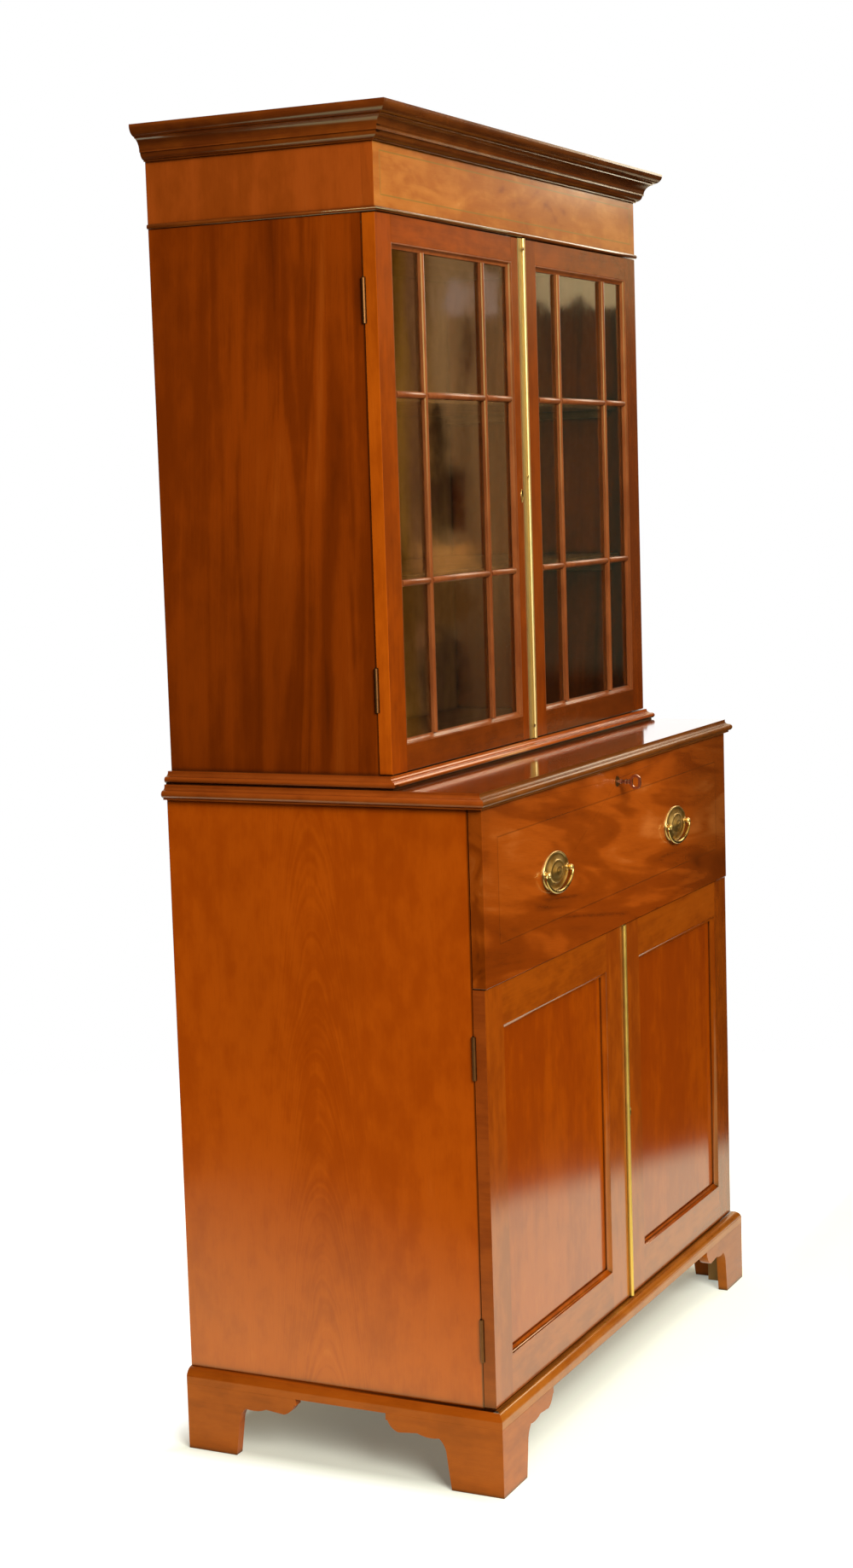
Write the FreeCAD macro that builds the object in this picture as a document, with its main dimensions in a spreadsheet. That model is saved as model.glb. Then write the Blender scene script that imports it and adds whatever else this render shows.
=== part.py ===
import FreeCAD, Part
import math
import os
import re

import Sketcher

# A mahogany secretaire bookcase in two parts. The upper part has two glazed doors under a
# cornice. The lower part has a deep secretaire drawer, whose front falls to make a desk, over
# a cupboard with two panelled doors, on bracket feet.
# Millimetres. X to the viewer's right, Y to the back, Z up from the floor. While the pieces are
# drawn, Y is zero at the front edge of the lower carcass, and each finished piece is then moved
# by centre_shift, so that the origin is under the middle of the whole.

SIZES = {
    # the two carcasses
    "lower_width": 1118.0,
    "lower_depth": 530.0,
    "upper_setback": 17.5,
    "upper_depth": 375.0,
    "side_thickness": 20.0,
    "board_thickness": 20.0,
    "back_thickness": 10.0,
    "back_joint": 0.4,
    "shelf_thickness": 18.0,
    "shelf_setback": 14.0,
    "shelf_play": 0.3,
    "bearer_width": 16.0,
    "bearer_height": 14.0,
    # the base and its bracket feet
    "foot_height": 110.0,
    "plinth_rise": 25.2,
    "plinth_reach": 16.7,
    "plinth_band": 12.0,
    "plinth_curve": 17.0,
    "bearing_rise": 8.0,
    "foot_width": 90.0,
    "foot_length": 203.0,
    "foot_thickness": 18.0,
    "block_width": 34.0,
    "block_lift": 4.0,
    # the top of the lower part and its moulded edge
    "top_thickness": 24.3,
    "top_overhang": 11.5,
    "top_end_overhang": 17.0,
    "edge_reach": 13.0,
    "edge_lip": 2.0,
    "edge_step": 3.0,
    "edge_cove": 6.5,
    "edge_nose": 6.0,
    "edge_fillet": 3.3,
    # the waist moulding that the upper part stands in, and its ledge along the sides
    "waist_height": 20.0,
    "waist_ledge": 8.5,
    "waist_reach": 14.5,
    "waist_lip": 2.5,
    "waist_step": 2.0,
    "waist_cove": 7.5,
    "waist_nose": 5.0,
    "waist_fillet": 2.0,
    # the frieze and the cornice
    "frieze_height": 103.0,
    "frieze_board": 20.0,
    "bead_height": 7.0,
    "bead_reach": 4.0,
    "cornice_height": 53.0,
    "cornice_reach": 43.0,
    "cornice_foot": 4.0,
    "cornice_fillet": 2.0,
    "cornice_low_reach": 13.6,
    "cornice_low_height": 13.0,
    "cornice_cove_reach": 27.0,
    "cornice_cove_height": 33.0,
    "cornice_band": 4.0,
    "cornice_low_curve": 12.0,
    "cornice_cove_curve": 20.0,
    "cornice_high_curve": 16.0,
    "dust_thickness": 8.0,
    "dust_recess": 5.0,
    # the gaps round the doors and the fall
    "door_gap": 1.5,
    "hinge_gap": 0.8,
    "meet_gap": 1.0,
    "meeting_offset": 14.0,
    "fit": 0.3,
    # the lower doors
    "lower_door_height": 661.0,
    "door_thickness": 20.6,
    "door_stile": 64.0,
    "door_meeting_stile": 75.0,
    "door_rail": 64.0,
    "panel_thickness": 7.0,
    "panel_tongue": 0.2,
    "panel_recess": 9.5,
    "trim_width": 10.0,
    "trim_nose": 2.5,
    "trim_round": 8.5,
    "lower_strip_width": 14.0,
    # the glazed doors
    "sash_height": 850.0,
    "sash_thickness": 22.0,
    "sash_stile": 52.0,
    "sash_meeting_stile": 50.0,
    "sash_rail": 41.0,
    "bead_width": 9.0,
    "bead_depth": 8.6,
    "bead_nose": 2.0,
    "bead_round": 8.0,
    "bar_width": 10.0,
    "bar_nose": 3.6,
    "bar_tongue": 3.0,
    "bar_tongue_depth": 6.0,
    "glass_thickness": 2.2,
    "upper_strip_width": 23.0,
    "strip_reach": 6.0,
    "strip_flange": 1.4,
    "strip_bead": 4.2,
    # the brass butt hinges
    "hinge_length": 68.0,
    "leaf_margin": 2.0,
    "leaf_thickness": 2.6,
    "hinge_offset": 1.0,
    "pin_radius": 1.4,
    "pin_fit": 0.05,
    "sash_hinge_inset": 130.0,
    "door_hinge_inset": 107.0,
    # the mortised locks
    "lock_wall": 6.0,
    "lock_height": 62.0,
    "lock_thickness": 8.0,
    "upper_lock_height": 1540.0,
    "lower_lock_height": 465.0,
    # the secretaire drawer
    "fall_height": 276.0,
    "fall_thickness": 23.2,
    "fall_side_play": 0.5,
    "apron_height": 24.6,
    "apron_thickness": 11.6,
    "lip_thickness": 11.5,
    "lip_depth": 26.0,
    "step_play": 0.3,
    "desk_thickness": 18.0,
    "drawer_room": 30.0,
    "drawer_side": 14.0,
    "drawer_play": 1.5,
    "drawer_head_play": 1.2,
    "fall_hinge_spread": 350.0,
    "leather_thickness": 0.5,
    "leather_margin": 60.0,
    "leather_rise": 52.0,
    "leather_drop": 64.0,
    "stay_margin": 61.4,
    "stay_room": 40.0,
    "stay_width": 12.0,
    "stay_thickness": 3.0,
    "stay_play": 0.6,
    "stay_flange_width": 16.0,
    "stay_flange_height": 46.0,
    # the pigeonholes and the small drawers
    "nest_headroom": 17.0,
    "nest_board": 8.0,
    "nest_divider": 6.0,
    "nest_shelf": 78.0,
    "small_front": 12.0,
    "small_wall": 6.0,
    "small_room": 20.0,
    "small_play": 0.7,
    "small_drop": 4.0,
    "knob_radius": 5.0,
    "knob_stem": 2.6,
    "knob_reach": 9.0,
    # the lock of the fall, its bolt and its key
    "fall_lock_width": 70.0,
    "fall_lock_height": 46.0,
    "fall_lock_thickness": 12.0,
    "bolt_width": 20.0,
    "bolt_thickness": 5.0,
    "bolt_length": 18.0,
    "bolt_throw": 6.0,
    "bolt_sink": 0.5,
    "bolt_setback": 3.5,
    "bolt_play": 2.7,
    "keyhole_radius": 3.3,
    "key_radius": 2.6,
    "key_play": 1.7,
    "key_shank": 24.0,
    "key_collar_radius": 4.2,
    "key_collar": 2.2,
    "key_bow_width": 19.0,
    "key_bow_height": 25.0,
    "key_wire": 4.0,
    "escutcheon_radius": 9.0,
    "escutcheon_reach": 1.0,
    # the two oval handles
    "handle_spread": 280.0,
    "handle_raise": 2.3,
    "plate_width": 104.0,
    "plate_height": 64.0,
    "plate_reach": 3.5,
    "boss_width": 52.0,
    "boss_height": 32.0,
    "boss_reach": 9.0,
    "post_spread": 46.0,
    "post_radius": 3.2,
    "post_ball": 5.0,
    "post_reach": 8.2,
    "bail_play": 0.6,
    "bail_drop": 33.0,
    "bail_wire": 2.8,
    "bail_pivot": 2.0,
    "bail_pivot_length": 11.0,
    "bail_elbow": 3.6,
}

# Places that follow from the sizes above, as formulas.
RULES = {
    "lower_half": "lower_width / 2",
    "upper_half": "lower_width / 2 - upper_setback",
    "upper_front": "lower_depth - upper_depth",
    "inner_half": "lower_half - side_thickness",
    "bay_half": "upper_half - side_thickness",
    "lower_face": "-hinge_gap - door_thickness",
    "fall_face": "-hinge_gap - fall_thickness",
    "upper_face": "upper_front - hinge_gap - sash_thickness",
    "plinth_height": "foot_height + plinth_rise",
    "bearing_height": "foot_height + bearing_rise",
    "lower_door_low": "plinth_height + door_gap",
    "lower_door_high": "lower_door_low + lower_door_height",
    "fall_low": "lower_door_high + door_gap",
    "fall_high": "fall_low + fall_height",
    "top_low": "fall_high + door_gap",
    "case_high": "top_low + top_thickness",
    "waist_high": "case_high + waist_height",
    "sash_low": "waist_high + door_gap",
    "sash_high": "sash_low + sash_height",
    "panes_low": "sash_low + sash_rail",
    "panes_tall": "sash_height - 2 * sash_rail",
    "frieze_low": "sash_high + door_gap",
    "cornice_low": "frieze_low + frieze_height",
    "cornice_high": "cornice_low + cornice_height",
    "frieze_high": "cornice_high - dust_recess - dust_thickness",
    "trim_depth": "panel_recess - fit",
    "knuckle": "leaf_thickness + hinge_gap / 2",
    "leaf_width": "side_thickness - leaf_margin",
    "lock_width": "sash_meeting_stile - lock_wall",
    "desk": "fall_low + apron_height",
    "desk_half": "inner_half - drawer_play - drawer_side",
    "drawer_low": "fall_low + fit",
    "drawer_depth": "lower_depth - back_thickness - drawer_room",
    "drawer_back": "drawer_depth - drawer_side",
    "stay_radius": "fall_height - apron_height - stay_margin",
    "nest_front": "stay_radius + stay_room",
    "nest_half": "desk_half - fit",
    "nest_high": "top_low - nest_headroom",
    "small_depth": "drawer_back - nest_front - small_room",
    "handle_height": "fall_low + fall_height / 2 + handle_raise",
    "bail_half": "post_spread + post_ball + bail_play + bail_elbow",
    "key_height": "fall_high - bolt_sink - bolt_length - bolt_play - keyhole_radius",
    "key_depth": "fall_thickness - bolt_setback - key_play",
    "key_tip": "fall_face - key_shank - key_bow_width",
    "centre_shift": "-(lower_depth + key_tip) / 2",
}

doc = FreeCAD.newDocument("secretaire_bookcase")
sheet = doc.addObject("Spreadsheet::Sheet", "Dims")
for row, (alias, number) in enumerate(SIZES.items(), start=1):
    sheet.set(f"A{row}", alias)
    sheet.set(f"B{row}", str(number))
    sheet.setAlias(f"B{row}", alias)
doc.recompute()

subparts = []


def bound(text):
    """The expression for FreeCAD: each rule is written out, and each size names its cell."""

    def swap(match):
        word = match.group()
        if word in RULES:
            return f"({bound(RULES[word])})"
        return f"Dims.{word}" if word in SIZES else word

    return re.sub(r"[a-z_]+", swap, text)


def value(text):
    """The number that an expression has now."""
    return float(sheet.evalExpression(bound(text)))


def bind(thing, name, text):
    thing.setExpression(name, bound(text))


def place(thing, x, y, z, turn=None):
    """Binds where a piece lies, and turns it if it needs turning."""
    if turn:
        thing.Placement.Rotation = turn
    for axis, text in zip("xyz", (x, y, z)):
        bind(thing, f"Placement.Base.{axis}", text)


def box(name, x, y, z):
    """A board between low and high places on each axis."""
    board = doc.addObject("Part::Box", name)
    for prop, (low, high) in zip(("Length", "Width", "Height"), (x, y, z)):
        bind(board, prop, f"({high}) - ({low})")
    place(board, x[0], y[0], z[0])
    return board


TURNS = {
    "x": FreeCAD.Rotation(FreeCAD.Vector(0, 1, 0), 90),
    "y": FreeCAD.Rotation(FreeCAD.Vector(1, 0, 0), -90),
    "z": None,
}


def rod(name, axis, x, y, z, radius, length):
    """A round bar from its low end along an axis."""
    bar = doc.addObject("Part::Cylinder", name)
    bind(bar, "Radius", radius)
    bind(bar, "Height", length)
    place(bar, x, y, z, TURNS[axis])
    return bar


def sphere(name, x, y, z, radius):
    ball = doc.addObject("Part::Sphere", name)
    bind(ball, "Radius", radius)
    place(ball, x, y, z)
    return ball


def joined(name, pieces):
    whole = doc.addObject("Part::MultiFuse", name)
    whole.Shapes = pieces
    return whole


def without(name, base, tools):
    """A piece with the tools cut out of it."""
    result = doc.addObject("Part::Cut", name)
    result.Base = base
    result.Tool = tools[0] if len(tools) == 1 else joined(f"{name}_cutter", tools)
    return result


def common(name, one, other):
    """What two pieces share."""
    result = doc.addObject("Part::Common", name)
    result.Base = one
    result.Tool = other
    return result


def node(label, pieces):
    """One sub-part: its solids together, moved so that the whole stands over the origin."""
    whole = doc.addObject("Part::Compound", f"node_{label}")
    whole.Label = label
    whole.Links = pieces
    bind(whole, "Placement.Base.y", "centre_shift")
    subparts.append(whole)


def across(side, low, high):
    """The places from low to high on the right, or their mirror image on the left."""
    return (low, high) if side > 0 else (f"-({high})", f"-({low})")


def mirrored(side, text):
    return text if side > 0 else f"-({text})"


def arc_between(start, end, radius, turn):
    """An arc to the next point, with its centre on the left of the way there if turn is 1."""
    chord = end - start
    rise = math.sqrt(max(radius * radius - chord.Length * chord.Length / 4, 0))
    left = FreeCAD.Vector(-chord.y, chord.x, 0).normalize()
    centre = (start + end) / 2 + left * (turn * rise)
    circle = Part.Circle(centre, FreeCAD.Vector(0, 0, 1), radius)
    first, last = (start, end) if turn > 0 else (end, start)
    angles = [math.atan2(p.y - centre.y, p.x - centre.x) for p in (first, last)]
    return Part.ArcOfCircle(circle, *angles)


def draw(sketch, points):
    """Draws a closed outline and ties every corner and radius to the sizes.

    A point is (across, up), or (across, up, radius, turn) where an arc leads to it.
    """
    spots = [FreeCAD.Vector(value(p[0]), value(p[1]), 0) for p in points]
    ends = []
    for i, spot in enumerate(spots):
        after = (i + 1) % len(points)
        target = points[after]
        if len(target) == 2:
            sketch.addGeometry(Part.LineSegment(spot, spots[after]))
            ends.append((1, 2))
        else:
            turn = target[3]
            sketch.addGeometry(arc_between(spot, spots[after], value(target[2]), turn))
            ends.append((1, 2) if turn > 0 else (2, 1))
    rules = []
    texts = {}
    for i, point in enumerate(points):
        after = (i + 1) % len(points)
        rules.append(Sketcher.Constraint("Coincident", i, ends[i][1], after, ends[after][0]))
        for kind, text, number in zip(("DistanceX", "DistanceY"), point, spots[i]):
            texts[len(rules)] = text
            rules.append(Sketcher.Constraint(kind, -1, 1, i, ends[i][0], number))
        if len(points[after]) == 4:
            texts[len(rules)] = points[after][2]
            rules.append(Sketcher.Constraint("Radius", i, value(points[after][2])))
    sketch.addConstraint(rules)
    for number, text in texts.items():
        bind(sketch, f"Constraints[{number}]", text)


def prism(name, plane, start, length, points):
    """A solid with one outline all along, from start.

    XY goes up, YZ goes to the right, and XZ goes to the front from its start at the back.
    """
    body = doc.addObject("PartDesign::Body", name)
    sketch = body.newObject("Sketcher::SketchObject", f"{name}_outline")
    face = [f for f in body.Origin.OriginFeatures if f.Role == f"{plane}_Plane"][0]
    sketch.AttachmentSupport = [(face, "")]
    sketch.MapMode = "FlatFace"
    offset = f"-({start})" if plane == "XZ" else start
    bind(sketch, "AttachmentOffset.Base.z", offset)
    draw(sketch, points)
    pad = body.newObject("PartDesign::Pad", f"{name}_pad")
    pad.Profile = sketch
    bind(pad, "Length", length)
    sketch.Visibility = False
    return body


# A moulding that goes round the front and both sides, mitred at the corners. Its section is
# given as points (out, up): how far out from the face, and how high.

def flipped(points, sign, base):
    """The section on its face: out becomes a place along the axis."""
    result = []
    for point in points:
        out = f"({base}) + ({point[0]})" if sign > 0 else f"({base}) - ({point[0]})"
        bend = (point[2], point[3] * sign) if len(point) == 4 else ()
        result.append((out, point[1], *bend))
    return result


def running_moulding(name, half, face, reach, front_section, side_section, low, height, depth):
    """The front length and the two returns. depth is how deep the mitre has to cut."""
    wide = f"({half}) + ({reach})"
    near = f"({face}) - ({reach})"
    front = prism(f"{name}_front_run", "YZ", f"-({wide})", f"2 * ({wide})",
                  flipped(front_section, -1, face))
    plan = prism(f"{name}_front_plan", "XY", low, height, [
        (f"-({wide})", near),
        (wide, near),
        (f"({wide}) - ({depth})", f"({near}) + ({depth})"),
        (f"-({wide}) + ({depth})", f"({near}) + ({depth})"),
    ])
    pieces = [common(f"{name}_front", front, plan)]
    for side, word in ((-1, "left"), (1, "right")):
        base = mirrored(side, half)
        run = prism(f"{name}_{word}_run", "XZ", "lower_depth", f"lower_depth - ({near})",
                    flipped(side_section, side, base))
        plan = prism(f"{name}_{word}_plan", "XY", low, height, [
            (mirrored(side, wide), near),
            (mirrored(side, wide), "lower_depth"),
            (mirrored(side, f"({wide}) - ({depth})"), "lower_depth"),
            (mirrored(side, f"({wide}) - ({depth})"), f"({near}) + ({depth})"),
        ])
        pieces.append(common(f"{name}_{word}", run, plan))
    return pieces


def nosing(word, low, high):
    """A nosed edge from below: a fillet, a round nose, a cove and a thin lip on top."""
    foot = f"{word}_reach - {word}_nose"
    rise = f"{low} + {word}_fillet"
    nose = f"{word}_nose"
    return [
        (foot, low),
        (foot, rise),
        (f"{word}_reach", f"{rise} + {nose}", nose, 1),
        (foot, f"{rise} + 2 * {nose}", nose, 1),
        (f"{word}_lip", f"{high} - {word}_step", f"{word}_cove", -1),
        (f"{word}_lip", high),
    ]


# Butt hinges. A door hinge stands on the outer crack between the carcass edge and the back of
# the door, so that the open door lies wholly outside the carcass.

SIDES = ((-1, "left"), (1, "right"))
DOORS = {
    "lower": {
        "half": "lower_half",
        "front": "0",
        "heights": ("lower_door_low + door_hinge_inset", "lower_door_high - door_hinge_inset"),
    },
    "upper": {
        "half": "upper_half",
        "front": "upper_front",
        "heights": ("sash_low + sash_hinge_inset", "sash_high - sash_hinge_inset"),
    },
}


def hinge_span(height, share_low, share_high, play="0"):
    """Part of the hinge's length, in shares of it from its middle."""
    return (f"({height}) + hinge_length * {share_low} + {play}",
            f"({height}) + hinge_length * {share_high} - {play}")


END_SHARE = 0.5
KNUCKLE_SHARE = 0.2


def hinge_notch(name, side, part, height, behind):
    """The housing for a leaf, in the carcass edge behind the crack or in the door before it."""
    spec = DOORS[part]
    x = across(side, f"{spec['half']} - leaf_width - fit", f"{spec['half']} + fit")
    y = ((spec["front"] + " - fit", f"{spec['front']} + leaf_thickness + fit") if behind else
         (f"{spec['front']} - hinge_gap - leaf_thickness - 2 * fit",
          f"{spec['front']} - hinge_gap + fit"))
    return box(name, x, y, (f"{height} - hinge_length / 2 - fit",
                            f"{height} + hinge_length / 2 + fit"))


def hinge_plate(name, side, part, height, fixed):
    """A leaf with its knuckles: two on the carcass leaf, one between them on the door leaf."""
    spec = DOORS[part]
    axis_x = f"{spec['half']} + hinge_offset"
    axis_y = f"{spec['front']} - hinge_gap / 2"
    y = ((spec["front"], f"{spec['front']} + leaf_thickness") if fixed else
         (f"{spec['front']} - hinge_gap - leaf_thickness", f"{spec['front']} - hinge_gap"))
    spans = ([(-END_SHARE, -KNUCKLE_SHARE, "0"), (KNUCKLE_SHARE, END_SHARE, "0")] if fixed else
             [(-KNUCKLE_SHARE, KNUCKLE_SHARE, "fit")])
    root = f"{axis_x} - knuckle - fit"
    pieces = [box(f"{name}_leaf", across(side, f"{spec['half']} - leaf_width", root), y,
                  hinge_span(height, -END_SHARE, END_SHARE))]
    for low, high, play in spans:
        z = hinge_span(height, low, high, play)
        pieces.append(box(f"{name}_root", across(side, root, axis_x), y, z))
        pieces.append(rod(f"{name}_knuckle", "z", mirrored(side, axis_x), axis_y, z[0],
                          "knuckle", f"({z[1]}) - ({z[0]})"))
    bore = rod(f"{name}_bore", "z", mirrored(side, axis_x), axis_y,
               f"{height} - hinge_length", "pin_radius + pin_fit", "2 * hinge_length")
    return without(name, joined(f"{name}_body", pieces), [bore])


def hinge_pin(name, side, part, height):
    spec = DOORS[part]
    return rod(name, "z", mirrored(side, f"{spec['half']} + hinge_offset"),
               f"{spec['front']} - hinge_gap / 2", f"{height} - hinge_length / 2",
               "pin_radius", "hinge_length")


def side_board(label, side, part, depth_range, height_range):
    """A carcass side with the housings for its door's hinges."""
    half = DOORS[part]["half"]
    board = box(f"{label}_board", across(side, f"{half} - side_thickness", half),
                depth_range, height_range)
    housings = [hinge_notch(f"{label}_housing", side, part, height, True)
                for height in DOORS[part]["heights"]]
    node(label, [without(f"{label}_cut", board, housings)])


# The carcasses

BACK_BOARDS = 6


def back_boards(label, half, low, high):
    """Upright boards side by side, closing the back between the sides."""
    boards = []
    for n in range(BACK_BOARDS):
        step = f"2 * ({half}) / {BACK_BOARDS}"
        x = (f"-({half}) + {n} * {step} + back_joint / 2",
             f"-({half}) + {n + 1} * {step} - back_joint / 2")
        boards.append(box(f"{label}_{n}", x, ("lower_depth - back_thickness", "lower_depth"),
                          (low, high)))
    node(label, boards)


def carcasses():
    for side, word in SIDES:
        side_board(f"lower_{word}_side", side, "lower", ("0", "lower_depth"),
                   ("bearing_height", "top_low"))
        side_board(f"upper_{word}_side", side, "upper", ("upper_front", "lower_depth"),
                   ("case_high", "frieze_low"))
    back = "lower_depth - back_thickness"
    inner = ("-(inner_half)", "inner_half")
    bay = ("-(bay_half)", "bay_half")
    node("lower_bottom_board", [
        box("lower_floor", inner, ("0", back), ("bearing_height", "plinth_height")),
    ])
    node("dust_board", [
        box("dust_floor", inner, ("0", back), ("fall_low - board_thickness", "fall_low")),
    ])
    node("upper_boards", [
        box("upper_floor", bay, ("upper_front", back),
            ("case_high", "case_high + board_thickness")),
        box("upper_ceiling", bay, ("upper_front", back),
            ("frieze_low - board_thickness", "frieze_low")),
    ])
    back_boards("lower_backboards", "inner_half", "bearing_height", "top_low")
    back_boards("upper_backboards", "bay_half", "case_high", "frieze_low")


# How far up the panes the two glazing bars and shelves lie, and how far across each door's
# panes its two upright bars stand.
PANE_HEIGHT_SHARES = (0.326, 0.7025)
PANE_WIDTH_SHARES = (0.25, 0.75)


def bar_levels():
    return [f"panes_low + panes_tall * {share}" for share in PANE_HEIGHT_SHARES]


def shelving():
    """Loose shelves on bearers: one in the cupboard and two in line with the glazing bars."""
    rows = [("inner_half", "shelf_setback", "(plinth_height + fall_low - board_thickness) / 2")]
    for level in bar_levels():
        rows.append(("bay_half", "upper_front + shelf_setback", f"{level} - shelf_thickness / 2"))
    shelves = []
    bearers = []
    for half, front, height in rows:
        shelves.append(box("shelf", (f"-({half}) + shelf_play", f"{half} - shelf_play"),
                           (front, "lower_depth - back_thickness - shelf_play"),
                           (height, f"{height} + shelf_thickness")))
        for side, _ in SIDES:
            bearers.append(box("bearer", across(side, f"{half} - bearer_width", half),
                               (f"{front} + bearer_width", "lower_depth - back_thickness"),
                               (f"{height} - bearer_height", height)))
    node("shelves", shelves)
    node("shelf_bearers", bearers)


# The mouldings

def upper_mouldings():
    """The waist moulding, frieze, bead and cornice of the upper part."""
    face = "upper_face"
    low, high = "case_high", "waist_high"
    waist = [("-waist_ledge", low), *nosing("waist", low, high), ("-waist_ledge", high)]
    lengths = running_moulding(
        "waist", "upper_half + waist_ledge", face, "waist_reach", waist, waist, low,
        "waist_height", "waist_reach + waist_ledge")
    sill = box("waist_sill", ("-(upper_half)", "upper_half"),
               (f"{face} + waist_ledge", "upper_front"), (low, high))
    node("waist_moulding", [joined("waist_front_rail", [lengths[0], sill]), *lengths[1:]])

    low, high = "frieze_low", "frieze_high"
    ends = [box("frieze_end", across(side, "upper_half - frieze_board", "upper_half"),
                (f"{face} + frieze_board", "lower_depth"), (low, high)) for side, _ in SIDES]
    rail = ("-(upper_half) + frieze_board", "upper_half - frieze_board")
    node("frieze_boards", [
        box("frieze_front", ("-(upper_half)", "upper_half"), (face, f"{face} + frieze_board"),
            (low, high)),
        *ends,
        box("frieze_back", rail, ("lower_depth - frieze_board", "lower_depth"), (low, high)),
    ])
    node("cornice_dust_board", [
        box("cornice_lid", ("-(upper_half)", "upper_half"), (face, "lower_depth"),
            (high, f"{high} + dust_thickness")),
    ])

    bead = [
        ("0", "frieze_low"),
        ("bead_reach / 2", "frieze_low"),
        ("bead_reach / 2", "frieze_low + bead_height", "bead_height * 0.6", 1),
        ("0", "frieze_low + bead_height"),
    ]
    node("frieze_bead", running_moulding(
        "bead", "upper_half", face, "bead_reach", bead, bead,
        "frieze_low", "bead_height", "bead_reach"))

    ovolo = "cornice_low + cornice_low_height"
    cove = "cornice_low + cornice_cove_height"
    cornice = [
        ("0", "cornice_low"),
        ("cornice_foot", "cornice_low"),
        ("cornice_foot", "cornice_low + cornice_fillet"),
        ("cornice_low_reach", ovolo, "cornice_low_curve", 1),
        ("cornice_low_reach + cornice_fillet", ovolo),
        ("cornice_low_reach + cornice_fillet", f"{ovolo} + cornice_fillet"),
        ("cornice_cove_reach", cove, "cornice_cove_curve", -1),
        ("cornice_cove_reach + cornice_fillet", cove),
        ("cornice_cove_reach + cornice_fillet", f"{cove} + cornice_fillet"),
        ("cornice_reach", "cornice_high - cornice_band", "cornice_high_curve", 1),
        ("cornice_reach", "cornice_high"),
        ("0", "cornice_high"),
    ]
    node("cornice", running_moulding(
        "cornice", "upper_half", face, "cornice_reach", cornice, cornice,
        "cornice_low", "cornice_height", "cornice_reach"))


def lower_top():
    """The top board of the lower part, with its moulded edge on the front and both ends."""
    wide = "lower_half + top_end_overhang - edge_reach"
    near = "fall_face - top_overhang + edge_reach"
    low, high = "top_low", "case_high"
    plank = box("top_plank", (f"-({wide})", wide), (near, "lower_depth"), (low, high))
    edge = [("0", low), *nosing("edge", low, high), ("0", high)]
    lengths = running_moulding("top_edge", wide, near, "edge_reach", edge, edge, low,
                               "top_thickness", "edge_reach")
    board = joined("top_board", [plank, *lengths])
    mortise = box("bolt_mortise", across(1, "-bolt_width / 2 - fit", "bolt_width / 2 + fit"),
                  ("-hinge_gap - bolt_setback - bolt_thickness - fit",
                   "-hinge_gap - bolt_setback + fit"),
                  (f"{low} - fit", "fall_high + bolt_throw + door_gap"))
    node("lower_top_board", [without("top_board_cut", board, [mortise])])


def plinth():
    """The base frame: a moulded rail in front and one along each side."""
    outside = [
        ("plinth_reach", "foot_height"),
        ("plinth_reach", "foot_height + plinth_band"),
        ("0", "plinth_height", "plinth_curve", 1),
    ]
    door = "lower_face"
    front = [(f"{door} - side_thickness", "foot_height"), *outside,
             (door, "plinth_height"), (door, "bearing_height"),
             (f"{door} - side_thickness", "bearing_height")]
    side = [("-side_thickness", "foot_height"), *outside, ("0", "bearing_height"),
            ("-side_thickness", "bearing_height")]
    node("plinth_rails", running_moulding(
        "plinth", "lower_half", door, "plinth_reach", front, side, "foot_height",
        "plinth_height - foot_height", "plinth_reach + side_thickness - lower_face"))


# The shaped edge of a bracket, from its foot inwards: how far along, how far up, and for an
# arc its radius, each as a share of the foot's length or height, and which way the arc bends.
BRACKET_SHARES = (
    (0.48, 0.52),
    (0.54, 0.74, 0.32, -1),
    (0.73, 0.77, 0.60, 1),
    (0.89, 0.74),
    (0.985, 0.90, 0.25, 1),
    (1.0, 0.90),
)


def bracket(name, plane, start, corner, sign):
    """One bracket of a foot, with its shaped inner edge. corner is the outer end."""
    def along(text):
        return f"({corner}) + ({text})" if sign > 0 else f"({corner}) - ({text})"

    points = [(along("0"), "0"), (along("foot_width"), "0")]
    for share, rise, *curve in BRACKET_SHARES:
        bend = (f"foot_height * {curve[0]}", curve[1] * sign) if curve else ()
        points.append((along(f"foot_length * {share}"), f"foot_height * {rise}", *bend))
    points += [(along("foot_length"), "foot_height"), (along("0"), "foot_height")]
    return prism(name, plane, start, "foot_thickness", points)


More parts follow.
